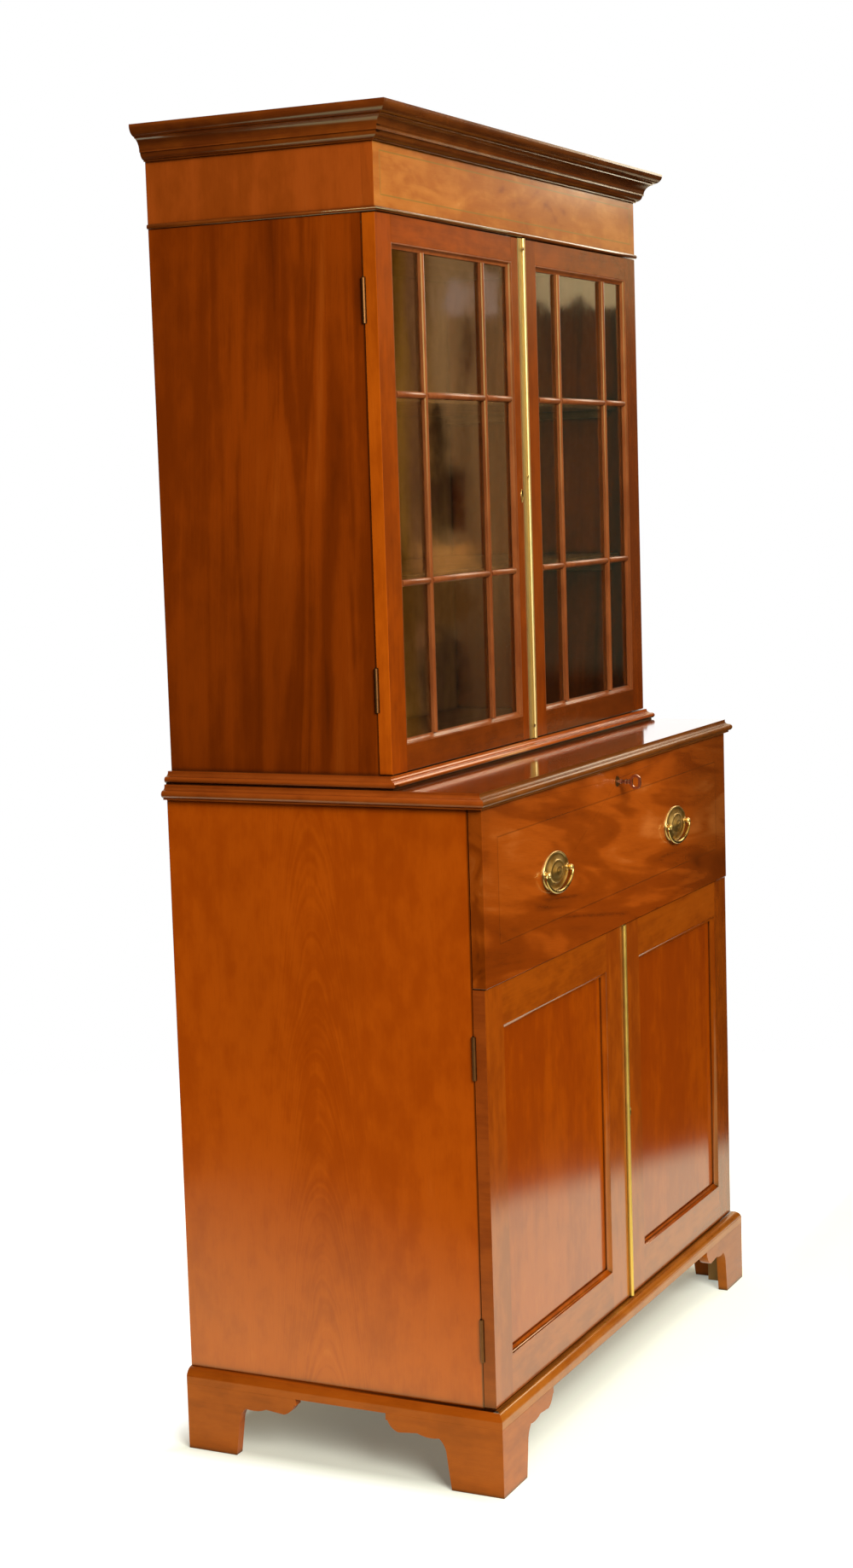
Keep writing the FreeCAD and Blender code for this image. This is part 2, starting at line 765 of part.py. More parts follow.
def feet():
    """Bracket feet: two mitred brackets at each front corner, and a glued block behind."""
    outer = "lower_half + plinth_reach"
    near = "lower_face - plinth_reach"
    thick = "foot_thickness"
    front = []
    back = []
    blocks = []
    for side, word in SIDES:
        corner = mirrored(side, outer)
        face = bracket(f"foot_{word}_front", "XZ", f"{near} + {thick}", corner, -side)
        plan = prism(f"foot_{word}_front_plan", "XY", "0", "foot_height", [
            (corner, near),
            (mirrored(side, f"{outer} - foot_length"), near),
            (mirrored(side, f"{outer} - foot_length"), f"{near} + {thick}"),
            (mirrored(side, f"{outer} - {thick}"), f"{near} + {thick}"),
        ])
        front.append(common(f"foot_{word}_front_piece", face, plan))
        start = f"{outer} - {thick}" if side > 0 else f"-({outer})"
        flank = bracket(f"foot_{word}_side", "YZ", start, near, 1)
        plan = prism(f"foot_{word}_side_plan", "XY", "0", "foot_height", [
            (corner, near),
            (corner, f"{near} + foot_length"),
            (mirrored(side, f"{outer} - {thick}"), f"{near} + foot_length"),
            (mirrored(side, f"{outer} - {thick}"), f"{near} + {thick}"),
        ])
        front.append(common(f"foot_{word}_side_piece", flank, plan))
        back.append(bracket(f"foot_{word}_rear_side", "YZ", start, "lower_depth", -1))
        back.append(box(f"foot_{word}_rear", across(side, f"{outer} - foot_width",
                                                    f"{outer} - {thick}"),
                        (f"lower_depth - {thick}", "lower_depth"), ("0", "foot_height")))
        inside = f"{outer} - {thick}"
        for y in ((f"{near} + {thick}", f"{near} + {thick} + block_width"),
                  (f"lower_depth - {thick} - block_width", f"lower_depth - {thick}")):
            blocks.append(box(f"foot_{word}_block",
                              across(side, f"{inside} - block_width", inside), y,
                              ("block_lift", "foot_height")))
    node("front_feet", front)
    node("back_feet", back)
    node("foot_blocks", blocks)


# The doors

def opening_trim(name, x, z, face, width, depth, nose, curve):
    """A small moulding round an opening, in four mitred lengths."""
    plan = {
        "low": [(x[0], z[0]), (x[1], z[0]), (f"{x[1]} - {width}", f"{z[0]} + {width}"),
                (f"{x[0]} + {width}", f"{z[0]} + {width}")],
        "high": [(x[0], z[1]), (x[1], z[1]), (f"{x[1]} - {width}", f"{z[1]} - {width}"),
                 (f"{x[0]} + {width}", f"{z[1]} - {width}")],
        "left": [(x[0], z[0]), (x[0], z[1]), (f"{x[0]} + {width}", f"{z[1]} - {width}"),
                 (f"{x[0]} + {width}", f"{z[0]} + {width}")],
        "right": [(x[1], z[0]), (x[1], z[1]), (f"{x[1]} - {width}", f"{z[1]} - {width}"),
                  (f"{x[1]} - {width}", f"{z[0]} + {width}")],
    }
    pieces = []
    for word, corners in plan.items():
        block = prism(f"{name}_{word}_plan", "XZ", f"{face} + {depth}", depth, corners)
        upright = word in ("left", "right")
        sign = 1 if word in ("low", "left") else -1
        edge = {"low": z[0], "high": z[1], "left": x[0], "right": x[1]}[word]

        def off(text, sign=sign, edge=edge):
            return f"{edge} + {text}" if sign > 0 else f"{edge} - ({text})"

        if upright:
            section = [(off("0"), face), (off(nose), face),
                       (off(width), f"{face} + {depth} - {nose}", curve, -sign),
                       (off(width), f"{face} + {depth}"), (off("0"), f"{face} + {depth}")]
            run = prism(f"{name}_{word}_run", "XY", z[0], f"({z[1]}) - ({z[0]})", section)
        else:
            section = [(face, off("0")), (face, off(nose)),
                       (f"{face} + {depth} - {nose}", off(width), curve, sign),
                       (f"{face} + {depth}", off(width)), (f"{face} + {depth}", off("0"))]
            run = prism(f"{name}_{word}_run", "YZ", x[0], f"({x[1]}) - ({x[0]})", section)
        pieces.append(common(f"{name}_{word}", run, block))
    return pieces


def meeting_edge(side):
    """The edge of a door where the two doors meet, which lies right of the middle."""
    return f"meeting_offset {'-' if side < 0 else '+'} meet_gap / 2"


def door_spans(side, half, stile, meeting):
    """Where the two stiles and the opening of a door lie."""
    edge = meeting_edge(side)
    inner = f"{edge} + {mirrored(side, meeting)}"
    if side < 0:
        return {"hinge": (f"-({half})", f"-({half}) + {stile}"),
                "opening": (f"-({half}) + {stile}", inner),
                "meeting": (inner, edge)}
    return {"hinge": (f"{half} - {stile}", half),
            "opening": (inner, f"{half} - {stile}"),
            "meeting": (edge, inner)}


def door_frame(name, side, part, spans, y, z, rail, lock):
    """Two stiles and two rails, with housings for the hinges and, on one door, the lock."""
    housings = [hinge_notch(f"{name}_housing", side, part, height, False)
                for height in DOORS[part]["heights"]]
    meeting = box(f"{name}_meeting_stile", spans["meeting"], y, z)
    if lock:
        meeting = without(f"{name}_mortised_stile", meeting, [lock])
    return [
        without(f"{name}_hinge_stile", box(f"{name}_stile", spans["hinge"], y, z), housings),
        meeting,
        box(f"{name}_low_rail", spans["opening"], y, (z[0], f"{z[0]} + {rail}")),
        box(f"{name}_high_rail", spans["opening"], y, (f"{z[1]} - {rail}", z[1])),
    ]


LOCK_SIDES = {"lower": 1, "upper": -1}


def lock_case(name, part, face, thickness, height, play):
    """A mortised lock in the meeting edge of a door, or with some play the hole for it."""
    side = LOCK_SIDES[part]
    edge = meeting_edge(side)
    ends = (f"{edge} - {mirrored(side, play)}", f"{edge} + {mirrored(side, f'lock_width + {play}')}")
    x = ends if side > 0 else ends[::-1]
    y = (f"{face} + ({thickness} - lock_thickness) / 2 - {play}",
         f"{face} + ({thickness} + lock_thickness) / 2 + {play}")
    return box(name, x, y, (f"{height} - lock_height / 2 - {play}",
                            f"{height} + lock_height / 2 + {play}"))


def strip(label, part, width, face, low, high):
    """The brass strip along a meeting edge: a half-round bead on a thin flange."""
    side = LOCK_SIDES[part]
    edge = meeting_edge(side)

    def at(text):
        return f"{edge} + {mirrored(side, text)}"

    shoulder = f"{face} - strip_reach + strip_bead"
    points = [
        (edge, face),
        (edge, shoulder),
        (at("strip_bead"), f"{face} - strip_reach", "strip_bead", side),
        (at("2 * strip_bead"), shoulder, "strip_bead", side),
        (at("2 * strip_bead"), f"{face} - strip_flange"),
        (at(width), f"{face} - strip_flange"),
        (at(width), face),
    ]
    node(label, [prism(f"{label}_bar", "XY", low, f"({high}) - ({low})", points)])


def leaves(label, side, part):
    node(label, [hinge_plate(f"{label}_plate", side, part, height, False)
                 for height in DOORS[part]["heights"]])


def lower_doors():
    y = ("lower_face", "lower_face + door_thickness")
    z = ("lower_door_low", "lower_door_high")
    panel_y = ("lower_face + panel_recess", "lower_face + panel_recess + panel_thickness")
    for side, word in SIDES:
        name = f"lower_{word}_door"
        spans = door_spans(side, "lower_half", "door_stile", "door_meeting_stile")
        lock = None
        if side == LOCK_SIDES["lower"]:
            lock = lock_case(f"{name}_lock_hole", "lower", "lower_face", "door_thickness",
                             "lower_lock_height", "fit")
        x = spans["opening"]
        inside = (f"{z[0]} + door_rail", f"{z[1]} - door_rail")
        trim = opening_trim(f"{name}_trim", x, inside, "lower_face", "trim_width",
                            "trim_depth", "trim_nose", "trim_round")
        node(f"{name}_frame",
             door_frame(name, side, "lower", spans, y, z, "door_rail", lock) + trim)
        node(f"{name}_panel", [
            box(f"{name}_field", (f"{x[0]} + panel_tongue", f"{x[1]} - panel_tongue"), panel_y,
                (f"{inside[0]} + panel_tongue", f"{inside[1]} - panel_tongue")),
        ])
        leaves(f"{name}_hinge_leaves", side, "lower")
    strip("lower_astragal", "lower", "lower_strip_width", "lower_face", *z)
    node("lower_door_lock", [
        lock_case("lower_lock", "lower", "lower_face", "door_thickness", "lower_lock_height",
                  "0"),
    ])


def bar_section(middle, face, swap):
    """A glazing bar: a rounded nose before the glass and a tongue between the panes."""
    back = f"{face} + bead_depth"
    half = "bar_width / 2"
    tongue = "bar_tongue / 2"
    points = [
        (f"{middle} - {half}", back),
        (f"{middle} - {half}", f"{face} + bar_nose"),
        (f"{middle} + {half}", f"{face} + bar_nose", "bar_width * 0.55", 1),
        (f"{middle} + {half}", back),
        (f"{middle} + {tongue}", back),
        (f"{middle} + {tongue}", f"{back} + bar_tongue_depth"),
        (f"{middle} - {tongue}", f"{back} + bar_tongue_depth"),
        (f"{middle} - {tongue}", back),
    ]
    if not swap:
        return points
    return [(p[1], p[0], p[2], -p[3]) if len(p) == 4 else (p[1], p[0]) for p in points]


def glazing(name, x, z):
    """The lattice of bars, the bead round it, and the nine panes."""
    face = "upper_face"
    wide = f"(({x[1]}) - ({x[0]}))"
    tall = f"(({z[1]}) - ({z[0]}))"
    uprights = [f"{x[0]} + {wide} * {share}" for share in PANE_WIDTH_SHARES]
    levels = bar_levels()
    bars = opening_trim(f"{name}_bead", x, z, face, "bead_width", "bead_depth", "bead_nose",
                        "bead_round")
    for n, middle in enumerate(uprights):
        bars.append(prism(f"{name}_upright_{n}", "XY", f"{z[0]} + bead_width",
                          f"{tall} - 2 * bead_width", bar_section(middle, face, False)))
    stops = [f"{x[0]} + bead_width"]
    for middle in uprights:
        stops += [f"{middle} - bar_width / 2", f"{middle} + bar_width / 2"]
    stops.append(f"{x[1]} - bead_width")
    for row, middle in enumerate(levels):
        for n in range(0, len(stops), 2):
            bars.append(prism(f"{name}_cross_{row}_{n}", "YZ", stops[n],
                              f"({stops[n + 1]}) - ({stops[n]})",
                              bar_section(middle, face, True)))
    node(f"{name}_glazing_bars", bars)
    edges_x = [x[0], *uprights, x[1]]
    edges_z = [z[0], *levels, z[1]]
    y = (f"{face} + bead_depth + fit / 2", f"{face} + bead_depth + fit / 2 + glass_thickness")

    def clear(places, n):
        low = "fit" if n == 0 else "bar_tongue / 2 + fit"
        high = "fit" if n == 2 else "bar_tongue / 2 + fit"
        return f"{places[n]} + {low}", f"{places[n + 1]} - ({high})"

    panes = [box(f"{name}_pane", clear(edges_x, i), y, clear(edges_z, k))
             for k in range(3) for i in range(3)]
    node(f"{name}_glass", panes)


def upper_doors():
    y = ("upper_face", "upper_face + sash_thickness")
    z = ("sash_low", "sash_high")
    for side, word in SIDES:
        name = f"upper_{word}_door"
        spans = door_spans(side, "upper_half", "sash_stile", "sash_meeting_stile")
        lock = None
        if side == LOCK_SIDES["upper"]:
            lock = lock_case(f"{name}_lock_hole", "upper", "upper_face", "sash_thickness",
                             "upper_lock_height", "fit")
        node(f"{name}_frame",
             door_frame(name, side, "upper", spans, y, z, "sash_rail", lock))
        glazing(name, spans["opening"], ("panes_low", "panes_low + panes_tall"))
        leaves(f"{name}_hinge_leaves", side, "upper")
    strip("upper_astragal", "upper", "upper_strip_width", "upper_face", *z)
    node("upper_door_lock", [
        lock_case("upper_lock", "upper", "upper_face", "sash_thickness", "upper_lock_height",
                  "0"),
    ])


def case_hinges():
    """The carcass leaves of the eight door hinges, and their pins."""
    pieces = []
    for part in DOORS:
        for side, word in SIDES:
            for n, height in enumerate(DOORS[part]["heights"]):
                name = f"{part}_{word}_hinge_{n}"
                pieces.append(hinge_plate(name, side, part, height, True))
                pieces.append(hinge_pin(f"{name}_pin", side, part, height))
    node("case_hinges", pieces)


# The secretaire drawer. The fall turns about a line on the writing surface, so that its inside
# comes level with the baseboard. Below that line its apron is thin, and when the fall is open
# the apron lies under the thin front lip of the baseboard.

FALL_HINGES = ("-fall_hinge_spread", "0", "fall_hinge_spread")
FALL_AXIS = ("-hinge_gap / 2", "desk")


def fall_hinge_x(middle, low, high, play="0"):
    return (f"({middle}) + hinge_length * {low} + {play}",
            f"({middle}) + hinge_length * {high} - {play}")


def fall_hinge_plate(name, middle, fixed):
    """A leaf on the baseboard with two knuckles, or on the fall with the one between."""
    axis_y, axis_z = FALL_AXIS
    flat = ("desk - leaf_thickness", "desk")
    upright = ("-hinge_gap - leaf_thickness", "-hinge_gap")
    whole = fall_hinge_x(middle, -END_SHARE, END_SHARE)
    root = "knuckle + fit"
    if fixed:
        spans = [(-END_SHARE, -KNUCKLE_SHARE, "0"), (KNUCKLE_SHARE, END_SHARE, "0")]
        pieces = [box(f"{name}_leaf", whole, (f"{axis_y} + {root}", "leaf_width"), flat)]
    else:
        spans = [(-KNUCKLE_SHARE, KNUCKLE_SHARE, "fit")]
        pieces = [box(f"{name}_leaf", whole, upright, (f"{axis_z} + {root}",
                                                       "desk + leaf_width"))]
    for low, high, play in spans:
        x = fall_hinge_x(middle, low, high, play)
        if fixed:
            pieces.append(box(f"{name}_root", x, (axis_y, f"{axis_y} + {root}"), flat))
        else:
            pieces.append(box(f"{name}_root", x, upright, (axis_z, f"{axis_z} + {root}")))
        pieces.append(rod(f"{name}_knuckle", "x", x[0], axis_y, axis_z, "knuckle",
                          f"({x[1]}) - ({x[0]})"))
    bore = rod(f"{name}_bore", "x", f"({middle}) - hinge_length", axis_y, axis_z,
               "pin_radius + pin_fit", "2 * hinge_length")
    return without(name, joined(f"{name}_body", pieces), [bore])


def fall_hinge_room(name, middle, fixed):
    """The housing for a fall hinge, in the lip of the baseboard or in the fall."""
    x = (f"({middle}) - hinge_length / 2 - fit", f"({middle}) + hinge_length / 2 + fit")
    if fixed:
        return [box(f"{name}_bed", x, ("-fit", "leaf_width + fit"),
                    ("desk - knuckle - fit", "desk + fit"))]
    return [box(f"{name}_bed", x, ("-hinge_gap / 2 - knuckle - fit", "-hinge_gap + fit"),
                ("desk - knuckle - fit", "desk + leaf_width + fit"))]


def drawer_case():
    """The sides, back and baseboard of the secretaire drawer, and its hinge leaves."""
    step = "desk - lip_thickness"
    sides = []
    high = "top_low - drawer_head_play"
    for side, word in SIDES:
        start = "desk_half" if side > 0 else "-(desk_half) - drawer_side"
        sides.append(prism(f"drawer_{word}_side", "YZ", start, "drawer_side", [
            ("0", step),
            ("lip_depth", step),
            ("lip_depth", "drawer_low"),
            ("drawer_depth", "drawer_low"),
            ("drawer_depth", high),
            ("0", high),
        ]))
    back = box("drawer_rear", ("-(desk_half)", "desk_half"), ("drawer_back", "drawer_depth"),
               ("drawer_low", high))
    node("drawer_box", [*sides, back])
    under = "desk - desk_thickness"
    plank = prism("desk_plank", "YZ", "-(desk_half)", "2 * (desk_half)", [
        ("0", step),
        ("lip_depth", step),
        ("lip_depth", under),
        ("drawer_back", under),
        ("drawer_back", "desk"),
        ("0", "desk"),
    ])
    rooms = [room for middle in FALL_HINGES
             for room in fall_hinge_room("desk_hinge", middle, True)]
    node("baseboard", [without("desk_board", plank, rooms)])
    plates = []
    for middle in FALL_HINGES:
        plates.append(fall_hinge_plate("desk_plate", middle, True))
        plates.append(rod("desk_pin", "x", f"({middle}) - hinge_length / 2", *FALL_AXIS,
                          "pin_radius", "hinge_length"))
    node("fall_hinge_plates", plates)


SMALL_DRAWERS = 4
PIGEONHOLES = 8


def cell(half, count, board, n):
    """The place of the n-th of some equal cells between boards."""
    width = f"((2 * ({half}) - ({count} - 1) * {board}) / {count})"
    return (f"-({half}) + {n} * ({width} + {board})",
            f"-({half}) + {n} * ({width} + {board}) + {width}")


def nest():
    """The pigeonholes over the small drawers, set back in the secretaire drawer."""
    y = ("nest_front", "drawer_back")
    inside = "nest_half - nest_board"
    shelf = ("desk + nest_shelf", "desk + nest_shelf + nest_board")
    ends = [box("nest_end", across(side, inside, "nest_half"), y,
                ("desk", "nest_high - nest_board")) for side, _ in SIDES]
    node("pigeonhole_case", [
        *ends,
        box("nest_top", ("-(nest_half)", "nest_half"), y, ("nest_high - nest_board",
                                                           "nest_high")),
        box("nest_shelf_board", (f"-({inside})", inside), y, shelf),
    ])
    dividers = []
    for n in range(1, SMALL_DRAWERS):
        x = (cell(inside, SMALL_DRAWERS, "nest_divider", n - 1)[1],
             cell(inside, SMALL_DRAWERS, "nest_divider", n)[0])
        dividers.append(box("low_divider", x, y, ("desk", shelf[0])))
    for n in range(1, PIGEONHOLES):
        x = (cell(inside, PIGEONHOLES, "nest_divider", n - 1)[1],
             cell(inside, PIGEONHOLES, "nest_divider", n)[0])
        dividers.append(box("high_divider", x, y, (shelf[1], "nest_high - nest_board")))
    node("pigeonhole_dividers", dividers)
    for n in range(SMALL_DRAWERS):
        small_drawer(n, cell(inside, SMALL_DRAWERS, "nest_divider", n))


def small_drawer(n, span):
    """A small drawer: front, sides, back and bottom, and a turned knob."""
    low, high = f"{span[0]} + small_play", f"{span[1]} - small_play"
    z = ("desk + fit", "desk + nest_shelf - small_play")
    side_z = (z[0], f"{z[1]} - small_drop")
    front = ("nest_front", "nest_front + small_front")
    run = (front[1], "nest_front + small_depth")
    back = (f"{run[1]} - small_wall", run[1])
    middle = f"(({low}) + ({high})) / 2"
    height = "desk + nest_shelf / 2"
    stem = rod("small_stem", "y", middle, "nest_front - knob_reach", height, "knob_stem",
               "knob_reach")
    ball = sphere("small_knob", middle, "nest_front - knob_reach", height, "knob_radius")
    node(f"small_drawer_{n + 1}", [
        box("small_face", (low, high), front, z),
        box("small_left", (low, f"{low} + small_wall"), run, side_z),
        box("small_right", (f"{high} - small_wall", high), run, side_z),
        box("small_back", (f"{low} + small_wall", f"{high} - small_wall"), back, side_z),
        box("small_floor", (f"{low} + small_wall", f"{high} - small_wall"),
            (run[0], back[0]), (z[0], f"{z[0]} + small_wall")),
        joined("small_pull", [stem, ball]),
    ])


# The fall and what it carries

def fall():
    """The falling front, its writing leather, stays, hinge leaves and lock."""
    half = "lower_half - fall_side_play"
    inner = "-hinge_gap"
    slim = "fall_face + apron_thickness"
    board = prism("fall_plank", "YZ", f"-({half})", f"2 * ({half})", [
        ("fall_face", "fall_low"),
        (slim, "fall_low"),
        (slim, "desk + step_play"),
        (inner, "desk + step_play"),
        (inner, "fall_high"),
        ("fall_face", "fall_high"),
    ])
    ends = [box("fall_end", across(side, "inner_half + fit", half), (slim, inner),
                ("fall_low", "desk + step_play")) for side, _ in SIDES]
    rooms = [room for middle in FALL_HINGES
             for room in fall_hinge_room("fall_hinge", middle, False)]
    stay_x = ("desk_half - stay_play - stay_flange_width", "desk_half - stay_play")
    flange_z = ("desk + stay_radius - stay_width / 2 - stay_flange_height / 2",
                "desk + stay_radius - stay_width / 2 + stay_flange_height / 2")
    for side, _ in SIDES:
        x = across(side, f"{stay_x[0]} - fit", f"{stay_x[1]} + fit")
        rooms.append(box("flange_bed", x, (f"{inner} - leaf_thickness - fit", f"{inner} + fit"),
                         (f"{flange_z[0]} - fit", f"{flange_z[1]} + fit")))
    lock_y = (f"{inner} - fall_lock_thickness", inner)
    lock_z = ("fall_high - fall_lock_height", "fall_high")
    rooms.append(box("fall_lock_bed",
                     ("-fall_lock_width / 2 - fit", "fall_lock_width / 2 + fit"),
                     (f"{lock_y[0]} - fit", f"{inner} + fit"),
                     (f"{lock_z[0]} - fit", "fall_high + fit")))
    rooms.append(rod("keyhole", "y", "0", "fall_face - fit", "key_height", "keyhole_radius",
                     "fall_thickness"))
    node("fall_board", [without("fall_cut", joined("fall_whole", [board, *ends]), rooms)])

    node("fall_leather", [
        box("fall_skiver", (f"-({half}) + leather_margin", f"{half} - leather_margin"),
            (inner, f"{inner} + leather_thickness"),
            ("desk + leather_rise", "fall_high - leather_drop")),
    ])

    stays = []
    for side, word in SIDES:
        x = across(side, "desk_half - stay_play - stay_thickness", "desk_half - stay_play")
        outer = rod(f"stay_{word}_outer", "x", x[0], *FALL_AXIS, "stay_radius",
                    "stay_thickness")
        outer.Angle = QUARTER_TURN
        outer.Placement.Rotation = STAY_TURN
        inside = rod(f"stay_{word}_inner", "x", f"{x[0]} - fit", *FALL_AXIS,
                     "stay_radius - stay_width", "stay_thickness + 2 * fit")
        toe = box(f"stay_{word}_toe", (f"{x[0]} - fit", f"{x[1]} + fit"),
                  ("0", "2 * stay_radius"), ("desk - stay_width", "desk + stay_width"))
        arc = without(f"stay_{word}_arc", outer, [inside, toe])
        neck = box(f"stay_{word}_neck", x, (f"{inner} - leaf_thickness", "stay_thickness"),
                   ("desk + stay_radius - stay_width + fit", "desk + stay_radius - fit"))
        flange = box(f"stay_{word}_flange", across(side, *stay_x),
                     (f"{inner} - leaf_thickness", inner), flange_z)
        stays.append(joined(f"stay_{word}", [arc, neck, flange]))
    node("fall_quadrants", stays)

    node("fall_hinge_leaves", [fall_hinge_plate("fall_plate", middle, False)
                               for middle in FALL_HINGES])

    case = box("fall_lock_case", ("-fall_lock_width / 2", "fall_lock_width / 2"), lock_y,
               lock_z)
    channel = box("bolt_way", ("-bolt_width / 2 - fit", "bolt_width / 2 + fit"),
                  (f"{inner} - bolt_setback - bolt_thickness - fit",
                   f"{inner} - bolt_setback + fit"),
                  ("fall_high - bolt_sink - bolt_length - fit", "fall_high + fit"))
    hole = rod("lock_keyhole", "y", "0", f"{lock_y[0]} - fit", "key_height",
               "key_radius + pin_fit", "fall_lock_thickness - bolt_setback")
    node("fall_lock", [without("fall_lock_cut", case, [channel, hole])])
    node("fall_lock_bolt", [
        box("bolt", ("-bolt_width / 2", "bolt_width / 2"),
            (f"{inner} - bolt_setback - bolt_thickness", f"{inner} - bolt_setback"),
            ("fall_high - bolt_sink - bolt_length", "fall_high - bolt_sink")),
    ])


# The stays are quarter rings about the line that the fall turns on.
QUARTER_TURN = 90
STAY_TURN = FreeCAD.Rotation(FreeCAD.Vector(0, 1, 0), FreeCAD.Vector(0, 0, 1),
                             FreeCAD.Vector(1, 0, 0), "ZXY")


KEY_COLLAR_SHARES = (0.95, 0.72, 0.35)


def oval(name, middle, inset):
    """The flat bow of the key as an upright rounded bar, smaller by inset all round."""
    radius = f"(key_bow_width / 2 - {inset})"
    rise = "(key_bow_height - key_bow_width) / 2"
    high, low = f"key_height + {rise}", f"key_height - {rise}"
    points = [
        (f"{middle} + {radius}", high),
        (middle, f"{high} + {radius}", radius, 1),
        (f"{middle} - {radius}", high, radius, 1),
        (f"{middle} - {radius}", low),
        (middle, f"{low} - {radius}", radius, 1),
        (f"{middle} + {radius}", low, radius, 1),
    ]
    return prism(name, "YZ", "-key_wire / 2", "key_wire", points)


def key():
    """The key in the lock of the fall, and the ring of brass round its hole."""
    shank = rod("key_shank", "y", "0", "fall_face - key_shank - key_wire / 2", "key_height",
                "key_radius", "key_shank + key_wire / 2 + key_depth")
    collars = [rod("key_collar", "y", "0", f"fall_face - key_shank * {share}", "key_height",
                   "key_collar_radius", "key_collar") for share in KEY_COLLAR_SHARES]
    middle = "fall_face - key_shank - key_bow_width / 2"
    bow = without("key_bow", oval("key_bow_rim", middle, "0"),
                  [oval("key_bow_hole", middle, "key_wire")])
    node("key", [joined("key_whole", [shank, *collars, bow])])
    plate = rod("escutcheon_disc", "y", "0", "fall_face - escutcheon_reach", "key_height",
                "escutcheon_radius", "escutcheon_reach")
    hole = rod("escutcheon_hole", "y", "0", "fall_face - escutcheon_reach - fit",
               "key_height", "keyhole_radius", "escutcheon_reach + 2 * fit")
    node("keyhole_escutcheon", [without("escutcheon_cut", plate, [hole])])


# An ellipsoid's first radius is along its own Z, which is turned to point at the viewer.
DOME_TURN = FreeCAD.Rotation(FreeCAD.Vector(1, 0, 0), FreeCAD.Vector(0, 0, 1),
                             FreeCAD.Vector(0, -1, 0), "ZXY")


def handles():
    """Two handles: an oval plate, two posts with ball ends, and a bail that hangs in them."""
    mounts = []
    post_y = "fall_face - post_reach"
    for side, word in SIDES:
        middle = mirrored(side, "handle_spread")
        domes = []
        for name, width, height, reach in (("plate", "plate_width", "plate_height",
                                            "plate_reach"),
                                           ("boss", "boss_width", "boss_height",
                                            "boss_reach")):
            dome = doc.addObject("Part::Ellipsoid", f"{name}_{word}")
            bind(dome, "Radius1", reach)
            bind(dome, "Radius2", f"{width} / 2")
            bind(dome, "Radius3", f"{height} / 2")
            place(dome, middle, "fall_face", "handle_height", DOME_TURN)
            domes.append(dome)
        wide = (f"{middle} - plate_width", f"{middle} + plate_width")
        tall = ("handle_height - plate_height", "handle_height + plate_height")
        behind = box(f"plate_{word}_back", wide, ("fall_face", "fall_face + plate_height"),
                     tall)
        pieces = [without(f"plate_{word}_shell", joined(f"domes_{word}", domes), [behind])]
        bores = []
        elbows = []
        for end, _ in SIDES:
            x = f"{middle} + {mirrored(end, 'post_spread')}"
            tip = f"{middle} + {mirrored(end, 'bail_half')}"
            pieces.append(rod(f"post_{word}", "y", x, post_y, "handle_height", "post_radius",
                              "post_reach"))
            pieces.append(sphere(f"post_ball_{word}", x, post_y, "handle_height",
                                 "post_ball"))
            start = tip if end < 0 else f"{tip} - bail_pivot_length"
            bore = tip if end < 0 else f"{start} - fit"
            bores.append(rod(f"post_bore_{word}", "x", bore, post_y, "handle_height",
                             "bail_pivot + pin_fit", "bail_pivot_length + fit"))
            elbows.append(rod(f"{word}_bail_pivot", "x", start, post_y, "handle_height",
                              "bail_pivot", "bail_pivot_length"))
            elbows.append(sphere(f"{word}_bail_elbow", tip, post_y, "handle_height",
                                 "bail_elbow"))
        mounts.append(without(f"mount_{word}", joined(f"mount_{word}_whole", pieces), bores))
        curve = "((bail_half * bail_half + bail_drop * bail_drop) / (2 * bail_drop))"
        loop = doc.addObject("Part::Torus", f"{word}_bail_ring")
        bind(loop, "Radius1", curve)
        bind(loop, "Radius2", "bail_wire")
        place(loop, middle, post_y, f"handle_height - bail_drop + {curve}", TURNS["y"])
        under = box(f"{word}_bail_half", wide,
                    (f"{post_y} - post_ball", f"{post_y} + post_ball"),
                    ("handle_height - plate_height", "handle_height"))
        bow = common(f"{word}_bail_bow", loop, under)
        node(f"{word}_bail", [joined(f"{word}_bail_whole", [bow, *elbows])])
    node("handle_mounts", mounts)


def check_and_export():
    """Stops if anything failed, then writes one file for each sub-part."""
    doc.recompute()
    failed = [thing.Name for thing in doc.Objects
              if "Invalid" in thing.State or "Error" in thing.State]
    if failed:
        raise SystemExit(f"failed: {failed}")
    for part in subparts:
        shape = part.Shape
        if shape.isNull() or not shape.isValid() or not shape.Solids:
            raise SystemExit(f"bad shape: {part.Label}")
    os.makedirs("parts", exist_ok=True)
    for part in subparts:
        part.Shape.exportStep(os.path.join("parts", f"{part.Label}.step"))
        print(part.Label, len(part.Shape.Solids), "solids", round(part.Shape.Volume / 1000),
              "cm3")
    print(len(subparts), "nodes")


carcasses()
shelving()
upper_mouldings()
lower_top()
plinth()
feet()
lower_doors()
upper_doors()
case_hinges()
drawer_case()
nest()
fall()
key()
handles()
check_and_export()
